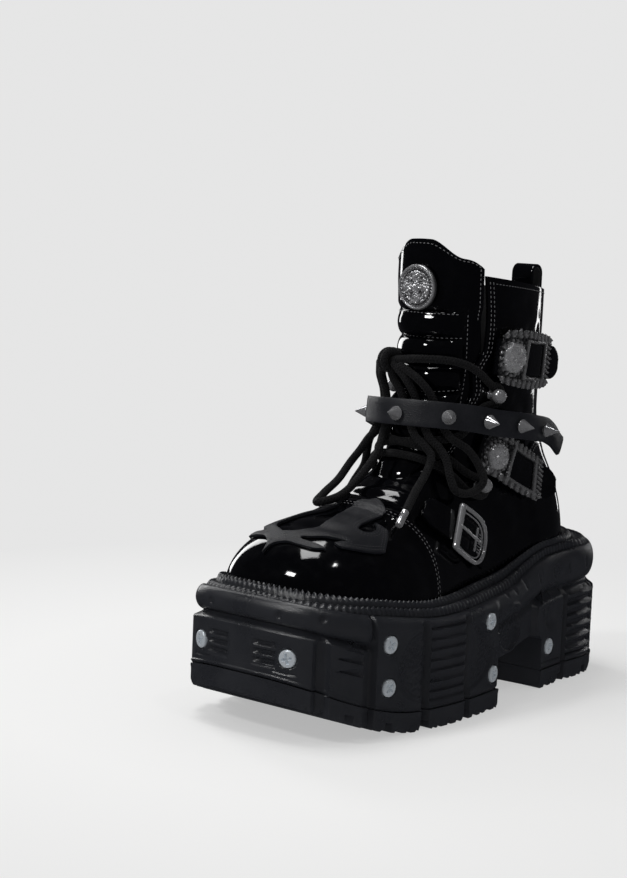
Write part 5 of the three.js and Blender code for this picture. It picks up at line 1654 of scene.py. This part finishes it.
def makeOrnate(key, look):
    band = bands[key]
    a, b = (band.length * share for share in look['span'])
    wa, wb, wh = band.length * look['window'][0], band.length * look['window'][1], look['window'][2]
    dx, dy, dr = band.length * look['dome'][0], look['dome'][1], look['dome'][2]
    print(key, 'strap', round(band.length, 1), 'mm long')

    def edge(x, sign):
        leaf = np.mod((x - a) / look['leaf'], 1)
        tooth = look['leaves'] * math.sqrt(max(0, math.sin(math.pi * leaf)))
        return sign * (look['half'] + look['arch'] * np.sin(np.pi * (x - a) / (b - a)) + tooth)

    xs = np.arange(a + 4, b - 2, 0.55)
    top = [(x, float(edge(x, 1))) for x in xs]
    bottom = [(x, float(edge(x, -1))) for x in xs[::-1]]
    right = [(b + 1.2 * math.cos(s * 2.1) ** 2, y)
             for s, y in enumerate(np.linspace(look['half'] - 1, 1 - look['half'], 22))]
    left = [(a + 3.2 - 3.6 * math.sqrt(1 - (y / (look['half'] + 1)) ** 2) + 0.7 * math.cos(y * 1.9), y)
            for y in np.linspace(1 - look['half'], look['half'] - 1, 26)]
    outer = top + right + bottom + left
    corner = 2.0
    low, high, side = wa + corner, wb - corner, wh - corner
    window = (arcOf(high, side, corner, 90, 0, 5) + arcOf(high, -side, corner, 0, -90, 5)
              + arcOf(low, -side, corner, -90, -180, 5) + arcOf(low, side, corner, 180, 90, 5))

    def height(x, y):
        r, turn = np.hypot(x - dx, y - dy), np.arctan2(y - dy, x - dx)
        dome = np.where(r < dr, 1.6 + 3.0 * np.sqrt(np.clip(1 - (r / dr) ** 2, 0, 1)), 0)
        petals = 0.55 * np.cos(turn * 5 + 0.6 * np.sin(r)) * np.sin(np.pi * r / dr) + 0.3 * np.cos(r * 2.6)
        dome = dome + np.where(r < dr * 0.9, petals, 0)
        collar = 1.5 * between(r, dr + 0.2, dr + 2.2, 0.3) * (0.8 + 0.4 * np.sin(turn * 18))
        rim = look['half'] + look['arch'] * np.sin(np.pi * np.clip((x - a) / (b - a), 0, 1)) - np.abs(y)
        leaf = np.mod((x - a) / look['leaf'] - np.abs(rim) * 0.06, 1)
        lobes = 0.55 + 0.6 * np.sin(np.pi * leaf) - 0.35 * np.abs(np.sin(np.pi * leaf * 3))
        leaves = 1.7 * (1 - smoothStep(rim, 2.6, 3.4)) * lobes
        frame = (1.5 * (between(x, wb + 0.6, wb + 3.4, 0.4) + between(x, wa - 3.4, wa - 0.6, 0.4))
                 * (np.abs(y) < wh + 2.5))
        rail = 1.3 * between(np.abs(y), wh + 0.5, wh + 2.2, 0.3) * between(x, wa - 2, wb + 3, 0.6)
        rope = 1.5 * (x > wb + 4) * (0.7 + 0.5 * np.sin(y * 2.3 + x))
        vein = 0.45 * np.sin(x * 1.7 + 1.2 * np.sin(y * 1.1)) * np.sin(y * 1.9 + np.sin(x * 0.8)) * (x < wa - 3)
        return 0.7 + np.maximum.reduce([dome, collar, leaves, frame, rail, rope, np.full_like(x, 0.5)]) + vein

    def mapping(x, y):
        return band.at(x, y, 3.5 + height(x, y))

    bm = cutSheet([outer, window], 0.8, mapping)
    paintRelief(bm, height, 1.25, 3.2)
    finishPiece(f'ornate{key.capitalize()}', bm, ['antique'], replaces=[look['node']],
                solid=dict(thickness=1.1, even=False), sharp=40)


for key, look in ornateLooks.items():
    makeOrnate(key, look)


# a rounded ring with a thicker roller, a prong and a grooved tip plate
def makeVampBuckle():
    band = bands['vamp']
    t = 0.58
    along, side, out = (r[0] for r in band.frame(t)[1:])
    at = band.raised(np.array([t]))[0] + out * 5.6

    def lay(points):
        p = np.asarray(points, float)
        return at + side * p[:, :1] + along * p[:, 1:2] + out * p[:, 2:3]

    ring = smoothLine([(12.4, -13, 0.2), (13.2, -7, 0.3), (13.4, 1, 0.3), (12.6, 8, 0.2), (9.6, 12.6, 0),
                       (5, 15.2, -0.3), (0, 15.8, -0.4),
                       (-5, 15.2, -0.3), (-9.6, 12.6, 0), (-12.6, 8, 0.2), (-13.4, 1, 0.3), (-13.2, -7, 0.3),
                       (-12.4, -13, 0.2), (-6, -13.6, 0), (6, -13.6, 0)], step=0.8, closed=True)
    bm = tube(lay(ring), 1.2, sides=14, closed=True, firstSide=out)
    inner = smoothLine([(10.2, -11, -0.5), (10.9, -2, -0.5), (10.2, 6.5, -0.6), (7, 11.4, -0.8),
                        (0, 13.0, -0.9), (-7, 11.4, -0.8), (-10.2, 6.5, -0.6),
                        (-10.9, -2, -0.5), (-10.2, -11, -0.5)], step=0.8)
    tube(lay(inner), 0.5, sides=8, bm=bm, firstSide=out)
    tube(lay([(x, -13.6, 0.3) for x in np.linspace(-12, 12, 22)]), 1.95, sides=18, bm=bm, firstSide=out)
    prong = smoothLine([(0, -13.4, 2.0), (0, -8, 1.9), (0, 2, 1.1), (0, 8.2, 1.0)], step=0.8)
    tube(lay(prong), 0.85, sides=12, bm=bm, firstSide=out)
    tube(lay([(x, 4.6, 0.6) for x in np.linspace(-6.5, 6.5, 14)]), 0.75, sides=10, bm=bm, firstSide=out)
    for x in np.arange(-3, 4) * 1.8:
        tube(lay([(x, y, -0.9) for y in np.linspace(9.4, 14.2 - abs(x) * 0.3, 7)]), 0.3, sides=6, bm=bm,
             firstSide=out)
    finishPiece('vampBuckleRing', bm, ['brightSteel'], replaces=['buckle_vamp'],
                sharp=60)


makeVampBuckle()
print('buckles done')


# pull loop and zip
def makePullLoop():
    back = skin(np.array([1.0]), np.array([180.0]))[0]
    rise, drop, outer, inner, thick = 16, 22, 4.4, -7.4, 2.4
    a, b = inner + thick / 2, outer - thick / 2
    middle, r = (a + b) / 2, (b - a) / 2
    crown = rise - thick / 2 - r
    path = ([(a, -drop), (a, -10), (a, crown)] + arcOf(middle, crown, r, 172, 8, 12)
            + [(b, crown), (b, -10), (b, -drop)])
    line = evenLine(np.array(path, float), step=1.0)

    def place(u, v):
        p = line[np.clip(np.rint(v).astype(int), 0, len(line) - 1)]
        return np.stack([u, back[1] + p[:, 0], back[2] + p[:, 1]], axis=1)

    bm = drape(np.linspace(-7.3, 7.3, 13), np.arange(len(line)), place)
    finishPiece('pullLoopTab', bm, ['patent', 'lining'], replaces=['pull_loop'],
                solid=dict(thickness=2.1, offset=0, inside=1), bevel=0.45, sharp=60)
    bm = bmesh.new()
    for x in (-5.8, 5.8):
        z = np.linspace(-20, 6, 24)
        stitchLine(bm, np.stack([np.full(24, x), np.full(24, back[1] + b + 1.15), back[2] + z], axis=1),
                   facing=(0, 1, 0))
    finishPiece('pullLoopStitches', bm, ['thread'])


def makeZip():
    v = np.linspace(upperShape['zipBottom'] + 0.012, 0.994, 200)

    def place(u, w):
        p = skin(w, zipWay(w) + u * 4.9 * degreesPerMm(w, zipWay(w)))
        weave = 0.1 * np.cos(u * 9)
        return p + normalAt(p) * (-0.45 + weave - 0.3 * np.exp(-(u / 0.2) ** 2))[:, None]

    bm = drape(np.linspace(-1, 1, 15), v[::2], place)
    finishPiece('zipTapes', bm, ['zipTape'], replaces=['zip'], solid=dict(thickness=1.4))
    bm = bmesh.new()
    line = evenLine(skin(v, zipWay(v)), step=1.5)
    normals, along = normalAt(line), unit(np.gradient(line, axis=0))
    wide, long, tall = 2.6, 1.0, 0.9
    for k, (p, n, t) in enumerate(zip(line, normals, along)):
        b = np.cross(n, t)
        at = p + b * (0.75 if k % 2 else -0.75) - n * 0.35
        place = Matrix([[b[i] * wide * mm, t[i] * long * mm, n[i] * tall * mm, at[i] * mm] for i in range(3)]
                       + [[0, 0, 0, 1]])
        bmesh.ops.create_cube(bm, size=1, matrix=place)
    bmesh.ops.recalc_face_normals(bm, faces=bm.faces[:])
    finishPiece('zipTeeth', bm, ['darkSteel'], sharp=30)


makePullLoop()
makeZip()
print('pull loop and zip done')


# toe wing: a leather overlay with a spear tip, cut from one outline in plan
# one side of the outline from the tip round to the middle of the back edge; each row ends at a corner
wingOutline = [
    [(-8.6, -122.4), (-6.5, -118), (0, -115), (10, -114.4), (17.5, -112.6), (22.8, -108.8)],
    [(22.8, -108.8), (18.5, -109.5), (12.5, -110.8), (7.5, -111), (6.8, -109.8), (11.5, -107.4), (17, -103.4),
     (21.4, -100.4), (26.5, -97)],
    [(26.5, -97), (23.4, -103)],
    [(23.4, -103), (26.5, -102.4), (29, -100), (33, -93.6), (36, -86), (37.8, -78.8)],
    [(37.8, -78.8), (34, -72), (30.5, -67.2)],
    [(30.5, -67.2), (27.6, -67.8), (24, -69.4)],
    [(24, -69.4), (27.2, -72.5), (28, -76.5), (25.5, -82), (22.8, -82.8), (21.4, -80), (20.8, -71),
     (22, -58.4)],
    [(22, -58.4), (17, -54.6), (10.7, -51.4)],
    [(10.7, -51.4), (8.4, -55.6)],
    [(8.4, -55.6), (4.6, -57)],
    [(4.6, -57), (3.4, -66), (4.6, -77), (7, -87), (7.4, -97.6), (2.4, -106), (-7, -108.8)],
]
wingLooks = dict(lift=0.35, thickness=1.6, stitch=dict(pitch=1.9, length=1.25, width=0.42, height=0.34))


def wingMapping(lift):
    def mapping(x, y):
        p = topAt(x, y)
        return p + normalAt(p) * (upperRelief(p) + lift)[:, None]
    return mapping


def offsetLoop(loop, inset):
    p = np.array(loop, float)
    along = unit(np.roll(p, -1, axis=0) - np.roll(p, 1, axis=0))
    area = np.sum(p[:, 0] * np.roll(p[:, 1], -1) - np.roll(p[:, 0], -1) * p[:, 1])
    inward = np.stack([-along[:, 1], along[:, 0]], axis=1) * (1 if area > 0 else -1)
    return p + inward * inset


def makeWing():
    look = wingLooks
    right = np.concatenate([smoothLine(row, step=0.9)[:-1] for row in wingOutline] + [wingOutline[-1][-1:]])
    # the medial half mirrors the lateral one about the line of the spear
    tip, back = right[0], right[-1]
    axis = unit(back - tip)
    rel = right - tip
    mirrored = tip + 2 * np.outer(rel @ axis, axis) - rel
    outer = np.concatenate([right, mirrored[1:-1][::-1]])
    top = wingMapping(look['lift'] + look['thickness'])
    finishPiece('toeWing', cutSheet([outer.tolist()], 1.6, top), ['matteLeather'],
                solid=dict(thickness=look['thickness'], even=False), bevel=0.35, sharp=60)
    bm = bmesh.new()
    for inset in (1.2, 2.5):
        edge = offsetLoop(outer, inset)
        clear = np.linalg.norm(edge[:, None] - outer[None], axis=2).min(axis=1) > inset * 0.92
        breaks = np.flatnonzero(np.diff(clear.astype(int))) + 1
        for run, keep in zip(np.split(edge, breaks), [clear[0]] + [clear[b] for b in breaks]):
            if keep and len(run) > 4:
                stitchLine(bm, top(run[:, 0], run[:, 1]), size=look['stitch'], lift=0.02)
    finishPiece('wingStitches', bm, ['darkThread'])


makeWing()
print('toe wing done')
